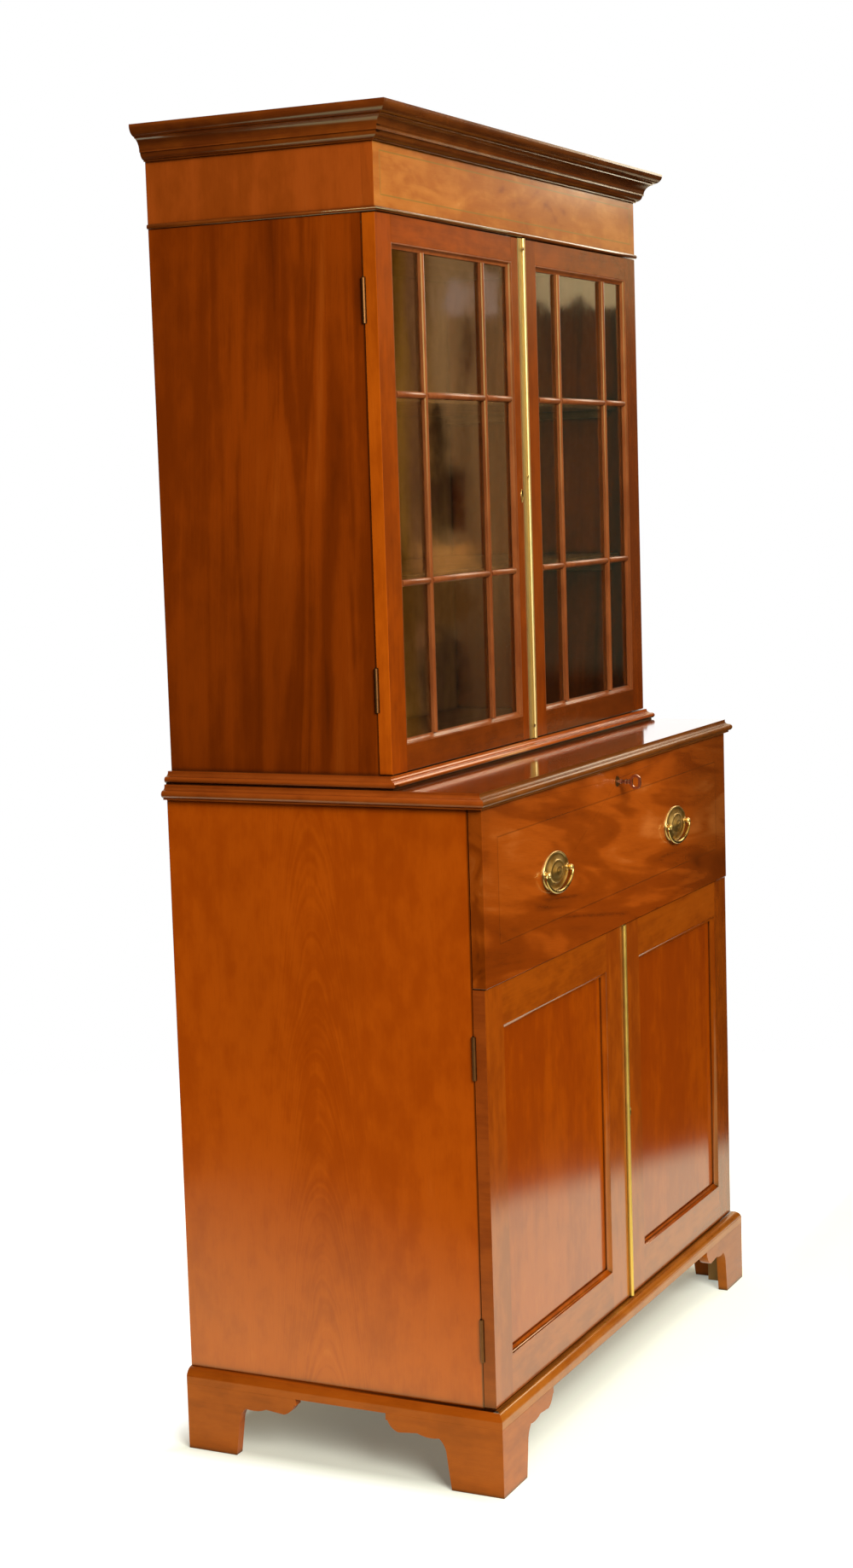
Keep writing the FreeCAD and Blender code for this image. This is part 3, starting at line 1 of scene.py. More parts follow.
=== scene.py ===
# %% Load the fixed frame
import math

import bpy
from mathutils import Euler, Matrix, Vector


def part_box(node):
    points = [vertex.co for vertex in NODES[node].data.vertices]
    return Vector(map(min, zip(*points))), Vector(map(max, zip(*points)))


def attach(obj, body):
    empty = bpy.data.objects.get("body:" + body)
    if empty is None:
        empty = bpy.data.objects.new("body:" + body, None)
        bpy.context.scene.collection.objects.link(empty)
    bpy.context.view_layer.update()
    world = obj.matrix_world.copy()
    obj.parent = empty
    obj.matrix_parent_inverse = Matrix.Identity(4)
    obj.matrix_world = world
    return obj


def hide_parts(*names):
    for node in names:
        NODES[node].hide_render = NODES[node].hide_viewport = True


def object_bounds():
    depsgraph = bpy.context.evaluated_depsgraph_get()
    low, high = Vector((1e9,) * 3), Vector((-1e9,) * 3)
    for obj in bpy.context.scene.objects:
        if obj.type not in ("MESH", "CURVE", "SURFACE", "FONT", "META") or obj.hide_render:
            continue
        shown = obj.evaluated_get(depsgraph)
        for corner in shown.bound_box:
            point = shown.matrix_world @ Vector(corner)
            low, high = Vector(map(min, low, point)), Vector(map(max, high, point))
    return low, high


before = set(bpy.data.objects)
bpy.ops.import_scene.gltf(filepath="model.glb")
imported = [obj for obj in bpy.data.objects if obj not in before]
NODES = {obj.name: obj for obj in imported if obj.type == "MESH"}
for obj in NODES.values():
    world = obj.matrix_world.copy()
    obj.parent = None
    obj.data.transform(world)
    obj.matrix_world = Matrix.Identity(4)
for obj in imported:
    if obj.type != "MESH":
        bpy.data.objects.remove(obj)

# %% [markdown]
# # A secretaire bookcase in polished mahogany
# The construction is finished elsewhere: every board, hinge and drawer comes in as a fixed
# frame. This lesson gives each piece its finish, adds the fine metalwork that is too small to
# matter for strength, and lights the whole like a studio photograph.
# Lengths are in metres. X is to the viewer's right, Y to the back and Z up from the floor.
# The size is measured before anything is added.

scene = bpy.context.scene
size_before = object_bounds()
print("pieces in the frame:", len(NODES))
print("size:", [round(c, 3) for c in size_before[1] - size_before[0]])

# %% [markdown]
# ## Small tools
# A material is a small network of nodes. It could be wired by hand in the shader editor, but a
# script can be read, repeated and changed in one place. One function adds a node with its
# settings and links. Where a node is given as an input, its first output in use is meant.
# Colours are written as the screen shows them, and one function turns them to linear light.

# %% Nodes, colours and materials
def linear(hex_colour):
    """Screen colour, as a hex number, to the linear colour that light works in."""
    channels = [int(hex_colour[i:i + 2], 16) / 255 for i in (1, 3, 5)]
    return [c / 12.92 if c <= 0.04045 else ((c + 0.055) / 1.055) ** 2.4 for c in channels] + [1]


def plug(node, sockets):
    """Sets or wires inputs. Each takes a number, a colour, a node or one of its outputs."""
    for name, source in sockets.items():
        if isinstance(source, bpy.types.Node):
            source = next(output for output in source.outputs if output.enabled)
        if isinstance(source, bpy.types.NodeSocket):
            node.id_data.links.new(source, node.inputs[name])
        else:
            node.inputs[name].default_value = source


def add(tree, kind, sockets=None, stops=None, **options):
    """One node with its settings and links. stops are the (place, hex colour) of a ramp."""
    node = tree.nodes.new("ShaderNode" + kind)
    for name, option in options.items():
        setattr(node, name, option)
    if stops:
        node.color_ramp.interpolation = "EASE"
        points = node.color_ramp.elements
        while len(points) < len(stops):
            points.new(0.5)
        for point, (place, colour) in zip(points, stops):
            point.position = place
            point.color = linear(colour)
    plug(node, sockets or {})
    return node


def new_material(name):
    """An empty material with its output and a shader for solid surfaces."""
    material = bpy.data.materials.new(name)
    material.use_nodes = True
    tree = material.node_tree
    tree.nodes.clear()
    surface = add(tree, "BsdfPrincipled")
    add(tree, "OutputMaterial", {"Surface": surface.outputs["BSDF"]})
    return material, tree, surface


print("white in linear light:", linear("#ffffff"))

# %% [markdown]
# ## Mahogany
# The case is made of mahogany, sawn, planed and French polished, then waxed for generations.
# An image of veneer could be wrapped round the boards, but it would repeat, and its grain
# would run across half of them. Noise is used instead, because it can follow the grain of
# each board. Along the grain the features of wood are long, across it they are short, so
# each noise is squeezed along the grain. Five layers make the figure: slow clouds, ribbon
# stripes some centimetres wide, a mottle of soft spots, growth streaks about a centimetre
# wide, and the pores. Shellac polish gives the eye a soft shine over the colour: a thin clear
# coat, warm where it mirrors the room. Painted shade darkens the inner corners and joints.

# %% Coordinates that run along the grain
def stretched(tree, coords, grain, share, place=(0, 0, 0), tilt=(0, 0, 0)):
    """Coordinates in which one unit along the grain is shorter, so that noise runs along it."""
    scale = [share if axis == grain else 1.0 for axis in "xyz"]
    tilted = add(tree, "Mapping", {"Vector": coords, "Rotation": tilt, "Location": place})
    return add(tree, "Mapping",
               {"Vector": tilted.outputs["Vector"], "Scale": scale}).outputs["Vector"]


def along_axis(tree, coords, axis, start, end):
    """Zero at start and one at end, along one axis."""
    split = add(tree, "SeparateXYZ", {"Vector": coords})
    step = add(tree, "Math", {0: split.outputs[axis.upper()], 1: start}, operation="SUBTRACT")
    return add(tree, "Math", {0: step, 1: end - start}, operation="DIVIDE", use_clamp=True)


print("ready: coordinates along a grain, and a share along an axis")

# %% Arches of a flat-sawn board, about 21 mm from one growth line to the next
RINGS_PER_METRE, RING_WANDER, RING_STRENGTH = 48.0, 0.14, 0.3


def arches(tree, coords, centre, width, rise):
    """The pointed arches of a flat-sawn board, as lines of equal growth."""
    split = add(tree, "SeparateXYZ", {"Vector": coords})
    aside = add(tree, "Math",
                {0: add(tree, "Math", {0: split.outputs["Y"], 1: centre}, operation="SUBTRACT"),
                 1: width}, operation="DIVIDE")
    square = add(tree, "Math", {0: aside, 1: aside}, operation="MULTIPLY")
    wander = add(tree, "TexNoise",
                 {"Vector": coords, "Scale": 5, "Detail": 2.0, "Roughness": 0.55})
    growth = add(tree, "Math", {0: square, 1: rise, 2: split.outputs["Z"]},
                 operation="MULTIPLY_ADD")
    growth = add(tree, "Math", {0: wander, 1: RING_WANDER, 2: growth}, operation="MULTIPLY_ADD")
    rings = add(tree, "TexNoise", {"W": growth, "Scale": RINGS_PER_METRE, "Detail": 3.0},
                noise_dimensions="1D").outputs["Fac"]
    near = add(tree, "Math",
               {0: 1.0, 1: add(tree, "Math", {0: square, 1: 0.5}, operation="MULTIPLY")},
               operation="SUBTRACT", use_clamp=True)
    return add(tree, "Math",
               {0: add(tree, "Math", {0: rings, 1: 0.5}, operation="SUBTRACT"), 1: near},
               operation="MULTIPLY")


print("one growth line in", round(1000 / RINGS_PER_METRE), "mm")

# %% Painted shade, darkest within a centimetre of a corner
CORNER_SHADE_REACH, CORNER_SHADE_STARTS, CORNER_SHADE_STRENGTH = 0.011, 0.86, 2.1


def painted_corner_shade(tree):
    """How much painted shade lies here: most in the inner corners and along the joints."""
    open_share = add(tree, "AmbientOcclusion", {"Distance": CORNER_SHADE_REACH}, samples=6)
    closed = add(tree, "Math", {0: CORNER_SHADE_STARTS, 1: open_share.outputs["AO"]}, operation="SUBTRACT",
                 use_clamp=True)
    return add(tree, "Math", {0: closed, 1: CORNER_SHADE_STRENGTH}, operation="MULTIPLY", use_clamp=True)


# The printed reach is that of the painted corner shade.
print("old wax reaches", CORNER_SHADE_REACH * 1000, "mm out of a corner")

# %% The wood function
# A layer of the figure: its squeeze along the grain, how many lie in a metre, detail,
# roughness. So a cloud is about 310 mm wide, a mottled spot 29 mm and a streak 11 mm. Real
# pores are about 0.2 mm wide, too fine for this render, so they are drawn 0.9 mm wide.
CLOUDS, MOTTLE, PORES = (0.45, 3.2, 3.0, 0.55), (0.5, 34, 3.0, 0.6), (0.02, 1100, 3.0, 0.7)
# The streaks are squeezed as the ribbons of their own wood are, and are a little distorted.
STREAKS = (95, 5.0, 0.6, 0.2)
COLOUR_SPAN, PORE_EDGE, PORE_DEPTH, WEAKEST_RIBBON = 0.62, 0.52, 1.6, 0.25


def mahogany(name, grain, colours, ribbon=(14, 0.5), streak=0.22, cloud=0.3, place=(0, 0, 0),
             tilt=(0, 0, 0), long_share=0.07, gloss=0.13, coat=0.2, tint=None, bend=0.4,
             fade=None, flat_sawn=None, shine=0.5, bump=0.05, corner_shaded=True, mottle=0.42):
    """Polished mahogany. colours run from deep to pale, ribbon is (stripes per metre, strength).

    fade is (axis, where the ribbons are weak, where they are strong), flat_sawn is (the middle
    of the arches, their width, their rise). tint is a function that changes the finished
    colour, and corner_shaded paints shade into the inner corners.
    """
    material, tree, surface = new_material(name)
    coords = add(tree, "TexCoord").outputs["Object"]

    def layer(share, scale, detail, rough, distortion=0.0):
        squeezed = stretched(tree, coords, grain, share, place, tilt)
        return add(tree, "TexNoise",
                   {"Vector": squeezed, "Scale": scale, "Detail": detail, "Roughness": rough,
                    "Distortion": distortion})

    clouds, spots, pores = (layer(*numbers) for numbers in (CLOUDS, MOTTLE, PORES))
    ribbons = layer(long_share, ribbon[0], 2.0, 0.5, bend)
    streaks = layer(long_share, *STREAKS)
    ribbons = add(tree, "Math",
                  {0: add(tree, "Math", {0: ribbons, 1: 0.5}, operation="SUBTRACT"),
                   1: ribbon[1]}, operation="MULTIPLY")
    if fade:
        strength = add(tree, "Math",
                       {0: along_axis(tree, coords, *fade), 1: 1 - WEAKEST_RIBBON,
                        2: WEAKEST_RIBBON}, operation="MULTIPLY_ADD")
        ribbons = add(tree, "Math", {0: ribbons, 1: strength}, operation="MULTIPLY")
    figure = add(tree, "Math", {0: ribbons, 1: 0.5}, operation="ADD")
    for fine, strength in ((streaks, streak), (clouds, cloud), (spots, mottle)):
        figure = add(tree, "Math",
                     {0: add(tree, "Math", {0: fine, 1: 0.5}, operation="SUBTRACT"), 1: strength,
                      2: figure}, operation="MULTIPLY_ADD")
    if flat_sawn:
        figure = add(tree, "Math",
                     {0: arches(tree, coords, *flat_sawn), 1: RING_STRENGTH, 2: figure},
                     operation="MULTIPLY_ADD")
    count = len(colours)
    stops = [(0.5 + (i / (count - 1) - 0.5) * COLOUR_SPAN, colours[i]) for i in range(count)]
    colour = add(tree, "ValToRGB", {"Fac": figure}, stops=stops)
    dark = add(tree, "Math", {0: pores, 1: PORE_EDGE}, operation="SUBTRACT", use_clamp=True)
    dark = add(tree, "Math", {0: dark, 1: PORE_DEPTH}, operation="MULTIPLY", use_clamp=True)
    colour = add(tree, "Mix", {0: dark, 6: colour, 7: linear(colours[0])}, data_type="RGBA")
    if tint:
        colour = tint(tree, coords, colour)
    # Painted shade: the colour sinks to near black in the inner corners and along the joints.
    if corner_shaded:
        colour = add(tree, "Mix", {0: painted_corner_shade(tree), 6: colour, 7: linear("#1c0c06")},
                     data_type="RGBA")
    relief = add(tree, "Bump",
                 {"Height": add(tree, "Math", {0: pores, 1: streaks}, operation="ADD"),
                  "Strength": bump, "Distance": 0.0006})
    rough = add(tree, "Math", {0: clouds, 1: 0.08, 2: gloss}, operation="MULTIPLY_ADD")
    plug(surface, {"Base Color": colour, "Roughness": rough, "Normal": relief, "IOR": 1.5,
                   "Specular IOR Level": shine, "Specular Tint": linear("#e1ffaa"),
                   "Coat Weight": coat, "Coat Roughness": 0.06, "Coat IOR": 1.5})
    return material


print("one cloud in", round(1000 / CLOUDS[1]), "mm, one streak in", round(1000 / STREAKS[0]),
      "mm, one pore in", round(1000 / PORES[1], 1), "mm")

# %% [markdown]
# ## Inlaid lines
# The fall and the frieze have a thin line of pale wood let into the veneer, a little inside
# their edges. It could be a strip of mesh, but a real one is scraped flush and has no
# thickness to catch light, so it is drawn in the material, by distance: how far a point lies
# from the edge of a rectangle. Outside the line the veneer is a shade darker, because its
# grain runs the other way.

# %% A rectangle drawn by distance
def inlay(centre, half, line, width, line_colour, band=0.82):
    """A function that paints a rectangle of thin line into a colour, on a front face.

    centre and half are (X, Z), line is how strongly the line covers, band shades its outside.
    """
    def paint(tree, coords, colour):
        split = add(tree, "SeparateXYZ", {"Vector": coords})
        reach = []
        for axis, middle, extent in (("X", centre[0], half[0]), ("Z", centre[1], half[1])):
            offset = add(tree, "Math",
                         {0: add(tree, "Math", {0: split.outputs[axis], 1: middle},
                                 operation="SUBTRACT")}, operation="ABSOLUTE")
            reach.append(add(tree, "Math", {0: offset, 1: extent}, operation="SUBTRACT"))
        distance = add(tree, "Math", {0: reach[0], 1: reach[1]}, operation="MAXIMUM")
        outside = add(tree, "Math", {0: distance, 1: 0.0}, operation="GREATER_THAN")
        shade = add(tree, "Mix",
                    {0: outside, 6: (1, 1, 1, 1), 7: (band, band * 0.97, band * 0.92, 1)},
                    data_type="RGBA")
        colour = add(tree, "Mix", {0: 1.0, 6: colour, 7: shade}, data_type="RGBA",
                     blend_type="MULTIPLY")
        near = add(tree, "Math",
                   {0: add(tree, "Math", {0: distance}, operation="ABSOLUTE"), 1: width / 2},
                   operation="LESS_THAN")
        return add(tree, "Mix",
                   {0: add(tree, "Math", {0: near, 1: line}, operation="MULTIPLY"), 6: colour,
                    7: linear(line_colour)}, data_type="RGBA")
    return paint


print("ready: inlaid lines")

# %% Tints one after another, and a colour that sinks
def in_turn(*paints):
    """One tint after another."""
    def paint(tree, coords, colour):
        for step in paints:
            colour = step(tree, coords, colour)
        return colour
    return paint


def darker_towards(axis, dark_at, plain_at, share):
    """A function that lets the colour sink to a share of itself towards one end of a board."""
    def paint(tree, coords, colour):
        light = add(tree, "Math",
                    {0: along_axis(tree, coords, axis, dark_at, plain_at), 1: 1 - share,
                     2: share}, operation="MULTIPLY_ADD")
        uneven = add(tree, "Math",
                     {0: add(tree, "TexNoise",
                             {"Vector": coords, "Scale": 4, "Detail": 2.0, "Roughness": 0.55}),
                      1: 0.3, 2: 0.85}, operation="MULTIPLY_ADD")
        light = add(tree, "Math", {0: light, 1: uneven}, operation="MULTIPLY", use_clamp=True)
        grey = add(tree, "CombineColor",
                   {"Red": light, "Green": light, "Blue": light}).outputs["Color"]
        return add(tree, "Mix", {0: 1.0, 6: colour, 7: grey}, data_type="RGBA",
                   blend_type="MULTIPLY")
    return paint


print("ready: tints in turn")

# %% [markdown]
# ## The woods of this piece
# One log gives boards that differ, so each part of the case has a wood of its own, rather than
# one wood for all. The upper side is the darkest, with broad ribbon stripes, and the lower side
# is paler and calmer, flat sawn with faint arches. The glazed doors are a shade darker than the
# panelled ones, the fall has a flame running across it, and the frieze is a pale, mottled
# veneer. There are 12 to 26 ribbon stripes to a metre, so one is 40 to 80 mm wide. The sides
# have a painted shadow along their front edges, where the doors and the fall meet them.

# %% Woods of the sides
UPPER_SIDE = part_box("upper_left_side")
LOWER_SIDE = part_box("lower_left_side")
WOODS = {
    "side_dark": mahogany("mahogany_ribbon_side", "z",
                          ["#5a2002", "#762d02", "#8e3a04", "#9a440a"],
                          ribbon=(26, 1.1), streak=0.10, cloud=0.5, place=(0.3, 0.13, 0),
                          tilt=(math.radians(-2.5), 0, 0), long_share=0.06, bend=0.9,
                          mottle=0.22,
                          fade=("y", UPPER_SIDE[1].y - 0.05, UPPER_SIDE[0].y + 0.12),
                          tint=in_turn(darker_towards("z", UPPER_SIDE[0].z - 0.1,
                                                      UPPER_SIDE[0].z + 0.5, 0.74),
                                       # painted shadow: a dark line along the front edge, where
                                       # the doors meet the side
                                       darker_towards("y", UPPER_SIDE[0].y + 0.001,
                                                      UPPER_SIDE[0].y + 0.003, 0.4))),
    "side_pale": mahogany("mahogany_flat_sawn_side", "z",
                          ["#8e3602", "#a34303", "#b24e06", "#c0601a"],
                          ribbon=(12, 0.2), streak=0.12, cloud=0.5, place=(0.7, 0.2, 0.4),
                          flat_sawn=((LOWER_SIDE[0].y + LOWER_SIDE[1].y) / 2 + 0.01, 0.08,
                                     0.45),
                          # painted shadow: a dark line along the front edge, where the fall meets
                          # the side
                          tint=darker_towards("y", LOWER_SIDE[0].y + 0.001,
                                              LOWER_SIDE[0].y + 0.0035, 0.3)),
    "side_red": mahogany("mahogany_frieze_side", "z",
                         ["#7a3006", "#90400c", "#a24a12", "#ac561c"],
                         ribbon=(16, 0.3), streak=0.12, cloud=0.6),
    "edge": mahogany("mahogany_bright_arris", "z",
                     ["#8e3c04", "#aa4a06", "#be580a", "#cc6814"],
                     ribbon=(14, 0.3), streak=0.3, cloud=0.6,
                     tint=darker_towards("z", 2.05, 1.35, 0.8)),
}
print("woods so far:", len(WOODS))

# %% Woods of the doors
WOODS.update({
    "upright": mahogany("mahogany_stile", "z",
                        ["#662a04", "#863a06", "#9a4808", "#aa5816"],
                        ribbon=(18, 0.35), streak=0.22, place=(0.1, 0.5, 0.2), gloss=0.09,
                        tint=darker_towards("x", 0.6, 0.3, 0.7)),
    "level": mahogany("mahogany_rail", "x",
                      ["#642a04", "#843a06", "#984808", "#a65816"],
                      ribbon=(18, 0.35), streak=0.22, place=(0.4, 0.1, 0.9), gloss=0.09),
    "sash_upright": mahogany("mahogany_sash_stile", "z",
                             ["#5c2202", "#7a3002", "#8e3b02", "#9e4608"],
                             ribbon=(18, 0.35), streak=0.22, place=(0.6, 0.5, 0.2),
                             coat=0.08, shine=0.4,
                             tint=darker_towards("x", 0.55, -0.4, 0.6)),
    "sash_level": mahogany("mahogany_sash_rail", "x",
                           ["#5a2202", "#7a3204", "#903e06", "#a04c10"],
                           ribbon=(18, 0.35), streak=0.22, place=(0.4, 0.6, 0.9),
                           coat=0.08, shine=0.4,
                           tint=in_turn(darker_towards("x", 0.55, -0.4, 0.7),
                                        # painted shade: the rails darken towards the bottom of
                                        # the glazed doors
                                        darker_towards("z", 1.15, 1.7, 0.62))),
    "bars": mahogany("mahogany_glazing_bar", "z",
                     ["#542610", "#743a1a", "#884a24", "#9a5c32"],
                     ribbon=(18, 0.35), streak=0.3, gloss=0.27, coat=0.0, shine=0.25,
                     corner_shaded=False),
    "panel": mahogany("mahogany_panel", "z",
                      ["#752c02", "#8c3802", "#9c4402", "#ac520c"],
                      ribbon=(13, 0.35), streak=0.16, cloud=0.5, place=(0.2, 0.8, 0.5),
                      gloss=0.08),
})
print("woods so far:", len(WOODS))

# %% Woods of the cornice, the mouldings and the top
WOODS.update({
    "cornice_x": mahogany("mahogany_cornice_front", "x",
                          ["#3c1a08", "#56280c", "#6c3812", "#84481c"],
                          ribbon=(20, 0.5), streak=0.25, place=(0.5, 0.3, 0.1)),
    "cornice_y": mahogany("mahogany_cornice_return", "y",
                          ["#4a1e08", "#6c300c", "#84400f", "#96501c"],
                          ribbon=(20, 0.5), streak=0.25, place=(0.6, 0.2, 0.1)),
    "depth": mahogany("mahogany_return", "y",
                      ["#6a2c0a", "#82380c", "#944410", "#a4521c"],
                      ribbon=(18, 0.35), streak=0.22, place=(0.9, 0.4, 0.3), gloss=0.2,
                      coat=0.05, shine=0.35),
    "moulding": mahogany("mahogany_worn_moulding", "x",
                         ["#6a2a06", "#8a3a08", "#9c480e", "#ac581a"],
                         ribbon=(16, 0.4), streak=0.25, gloss=0.2, coat=0.05, shine=0.4),
    # The top's front edge is a lighter, warmer wood: partly wear, partly a painted sheen on the
    # nosing.
    "top_edge": mahogany("mahogany_top_edge_wear_and_sheen", "x",
                         ["#4a2404", "#64320a", "#784010", "#8a4e1c"],
                         ribbon=(12, 0.5), streak=0.25, gloss=0.26, coat=0.0, shine=0.3),
    "top": mahogany("mahogany_polished_top", "x",
                    ["#401604", "#622403", "#783004", "#8a3e0a"],
                    ribbon=(12, 0.8), streak=0.25, place=(0.4, 0.1, 0.9), gloss=0.08,
                    coat=0.4, bump=0.012),
})
print("woods so far:", len(WOODS))

# %% Woods of the feet and the plinth
WOODS.update({
    "foot_x": mahogany("mahogany_foot_front", "x",
                       ["#703006", "#8a420a", "#9c4e0e", "#ae5e1a"],
                       ribbon=(14, 0.3), streak=0.2, cloud=0.5, coat=0.0, shine=0.3,
                       tint=darker_towards("x", 0.6, 0.2, 0.76)),
    "foot_y": mahogany("mahogany_foot_return", "y",
                       ["#6c2e04", "#883e08", "#98480c", "#a65614"],
                       ribbon=(14, 0.3), streak=0.2, cloud=0.5, place=(0.2, 0.7, 0.1),
                       gloss=0.2, coat=0.0, shine=0.2),
    # The plinth front is a paler wood: partly wear, partly a painted sheen on its glossy front.
    "plinth_x": mahogany("mahogany_plinth_wear_and_sheen", "x",
                         ["#6c3408", "#8a480e", "#9e5a18", "#b06e32"],
                         ribbon=(16, 0.3), streak=0.2, cloud=0.5, coat=0.05, shine=0.4),
})
print("woods so far:", len(WOODS))

# %% Veneers of the fall and the frieze
FALL_LOW, FALL_HIGH = (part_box("fall_board")[i].z for i in (0, 1))
FRIEZE_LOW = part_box("frieze_bead")[1].z
FRIEZE_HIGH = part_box("cornice")[0].z
WOODS.update({
    "fall": mahogany("mahogany_flame_veneer", "x",
                     ["#602604", "#8c3c06", "#a84e0e", "#c26a28"],
                     ribbon=(14, 1.0), streak=0.14, cloud=0.8, long_share=0.17, mottle=0.12,
                     tilt=(0, math.radians(-9), 0), bend=1.4,
                     tint=in_turn(darker_towards("x", 0.5, 0.2, 0.52),
                                  darker_towards("x", -0.53, -0.1, 0.8),
                                  inlay((0, (FALL_LOW + FALL_HIGH) / 2 + 0.006),
                                        (0.503, 0.083), 0.4, 0.0022, "#4a2408", 0.94))),
    "frieze": mahogany("mahogany_mottled_veneer", "x",
                       ["#84400a", "#9e5616", "#b26a24", "#c88038"],
                       ribbon=(20, 0.6), streak=0.1, cloud=0.6, long_share=0.35, bend=1.2,
                       tint=inlay((0, (FRIEZE_LOW + FRIEZE_HIGH) / 2 + 0.003),
                                  (0.519, 0.0325), 0.7, 0.0022, "#7c6424", 0.95)),
})
print("woods so far:", len(WOODS))

# %% Plain boards, inside and at the back
WOODS.update({
    "plain_x": mahogany("waxed_plain_board", "x",
                        ["#4e2c14", "#6e4424", "#8a5c34", "#a07444"],
                        ribbon=(16, 0.5), gloss=0.5, coat=0.0),
    "plain_z": mahogany("waxed_back_board", "z",
                        ["#54301a", "#744c2c", "#92683c", "#aa8050"],
                        ribbon=(16, 0.5), gloss=0.55, coat=0.0),
    "plain_y": mahogany("waxed_drawer_lining", "y",
                        ["#5a3a1e", "#7c5832", "#98724a", "#ac885c"],
                        ribbon=(16, 0.5), gloss=0.5, coat=0.0),
})
print("woods:", ", ".join(WOODS))

# %% [markdown]
# ## Brass, steel, leather and glass
# The mounts are cast and stamped brass, the locks forged steel. Handling keeps raised parts
# bright, while hollows turn brown. That could be painted by hand, but pointiness, a measure of
# how far a surface bulges, finds rims and hollows by itself, and a soft noise breaks it up.
# The writing leather is a hide, dyed green and burnished, so it has a fine grain and a low
# shine. The panes are crown glass, blown and spun flat. They are slightly wavy, and that
# waviness is what makes their reflections wander, so a bump is used and no flat shader.

# %% How metal, leather and glass are made
# Half the width of the painted shade line along a strip's groove.
GROOVE_SHADE_HALF = 0.0007
# How many lie in a metre: patches of tarnish about 22 mm wide and rubbing marks 1.1 mm apart,
# cells of leather grain 1.1 mm wide, one wave of glass in 125 mm, and dust in spots of 22 mm.
TARNISH, RUBBING, LEATHER_CELLS, GLASS_WAVES, GLASS_DUST = 45, 900, 900.0, 8, 45


def brass(name, pale, middle, dark, wear=0.5, rough=0.24, groove_shade=None):
    """Old metal, pale where it is rubbed. groove_shade is the X of a painted shade line."""
    material, tree, surface = new_material(name)
    coords = add(tree, "TexCoord").outputs["Object"]
    patches = add(tree, "TexNoise",
                  {"Vector": coords, "Scale": TARNISH, "Detail": 3.0, "Roughness": 0.55})
    scratches = add(tree, "TexNoise",
                    {"Vector": stretched(tree, coords, "z", 0.05), "Scale": RUBBING,
                     "Detail": 3.0, "Roughness": 0.55})
    hollows = add(tree, "NewGeometry").outputs["Pointiness"]
    value = add(tree, "Math",
                {0: add(tree, "Math", {0: hollows, 1: 0.5}, operation="SUBTRACT"), 1: 2.0,
                 2: add(tree, "Math", {0: patches, 1: wear, 2: 0.62 - wear / 2},
                        operation="MULTIPLY_ADD")}, operation="MULTIPLY_ADD")
    colour = add(tree, "ValToRGB", {"Fac": value},
                 stops=[(0.3, dark), (0.52, middle), (0.8, pale)])
    # painted shade: a dark line where the strip's groove would be, with the brown of its hollow
    if groove_shade:
        offset = add(tree, "Math",
                     {0: add(tree, "SeparateXYZ", {"Vector": coords}).outputs["X"], 1: groove_shade},
                     operation="SUBTRACT")
        inside = add(tree, "Math",
                     {0: add(tree, "Math", {0: offset}, operation="ABSOLUTE"), 1: GROOVE_SHADE_HALF},
                     operation="LESS_THAN")
        colour = add(tree, "Mix",
                     {0: add(tree, "Math", {0: inside, 1: 0.5}, operation="MULTIPLY"), 6: colour,
                      7: linear(dark)}, data_type="RGBA")
    bump = add(tree, "Bump", {"Height": scratches, "Strength": 0.06, "Distance": 0.0002})
    uneven_rough = add(tree, "Math", {0: patches, 1: 0.2, 2: rough - 0.1},
                       operation="MULTIPLY_ADD")
    plug(surface, {"Base Color": colour, "Roughness": uneven_rough, "Normal": bump,
                   "Metallic": 1.0})
    return material


def tooled_leather():
    """Green leather with a fine grain."""
    material, tree, surface = new_material("green_writing_leather")
    coords = add(tree, "TexCoord").outputs["Object"]
    grain = add(tree, "TexVoronoi", {"Vector": coords, "Scale": LEATHER_CELLS})
    patches = add(tree, "TexNoise",
                  {"Vector": coords, "Scale": 9, "Detail": 3.0, "Roughness": 0.55})
    colour = add(tree, "ValToRGB", {"Fac": patches},
                 stops=[(0.3, "#1c2c1a"), (0.55, "#2a3e26"), (0.8, "#3c5034")])
    bump = add(tree, "Bump",
               {"Height": grain.outputs["Distance"], "Strength": 0.3, "Distance": 0.0003})
    plug(surface, {"Base Color": colour, "Normal": bump, "Roughness": 0.5})
    return material


def old_glass():
    """Clear glass, a little wavy and a little dusty."""
    material, tree, surface = new_material("old_wavy_glass")
    coords = add(tree, "TexCoord").outputs["Object"]
    waves = add(tree, "TexNoise",
                {"Vector": stretched(tree, coords, "z", 0.75), "Scale": GLASS_WAVES,
                 "Detail": 2.0, "Roughness": 0.4})
    dust = add(tree, "TexNoise",
               {"Vector": coords, "Scale": GLASS_DUST, "Detail": 5.0, "Roughness": 0.55})
    bump = add(tree, "Bump", {"Height": waves, "Strength": 0.05, "Distance": 0.002})
    colour = add(tree, "ValToRGB", {"Fac": dust}, stops=[(0.3, "#e6eae0"), (0.8, "#f6f8f2")])
    rough = add(tree, "Math", {0: dust, 1: 0.05}, operation="MULTIPLY")
    plug(surface, {"Base Color": colour, "Roughness": rough, "Normal": bump,
                   "Transmission Weight": 1.0, "IOR": 1.52})
    return material


print("one wave of glass in", 1000 / GLASS_WAVES, "mm")

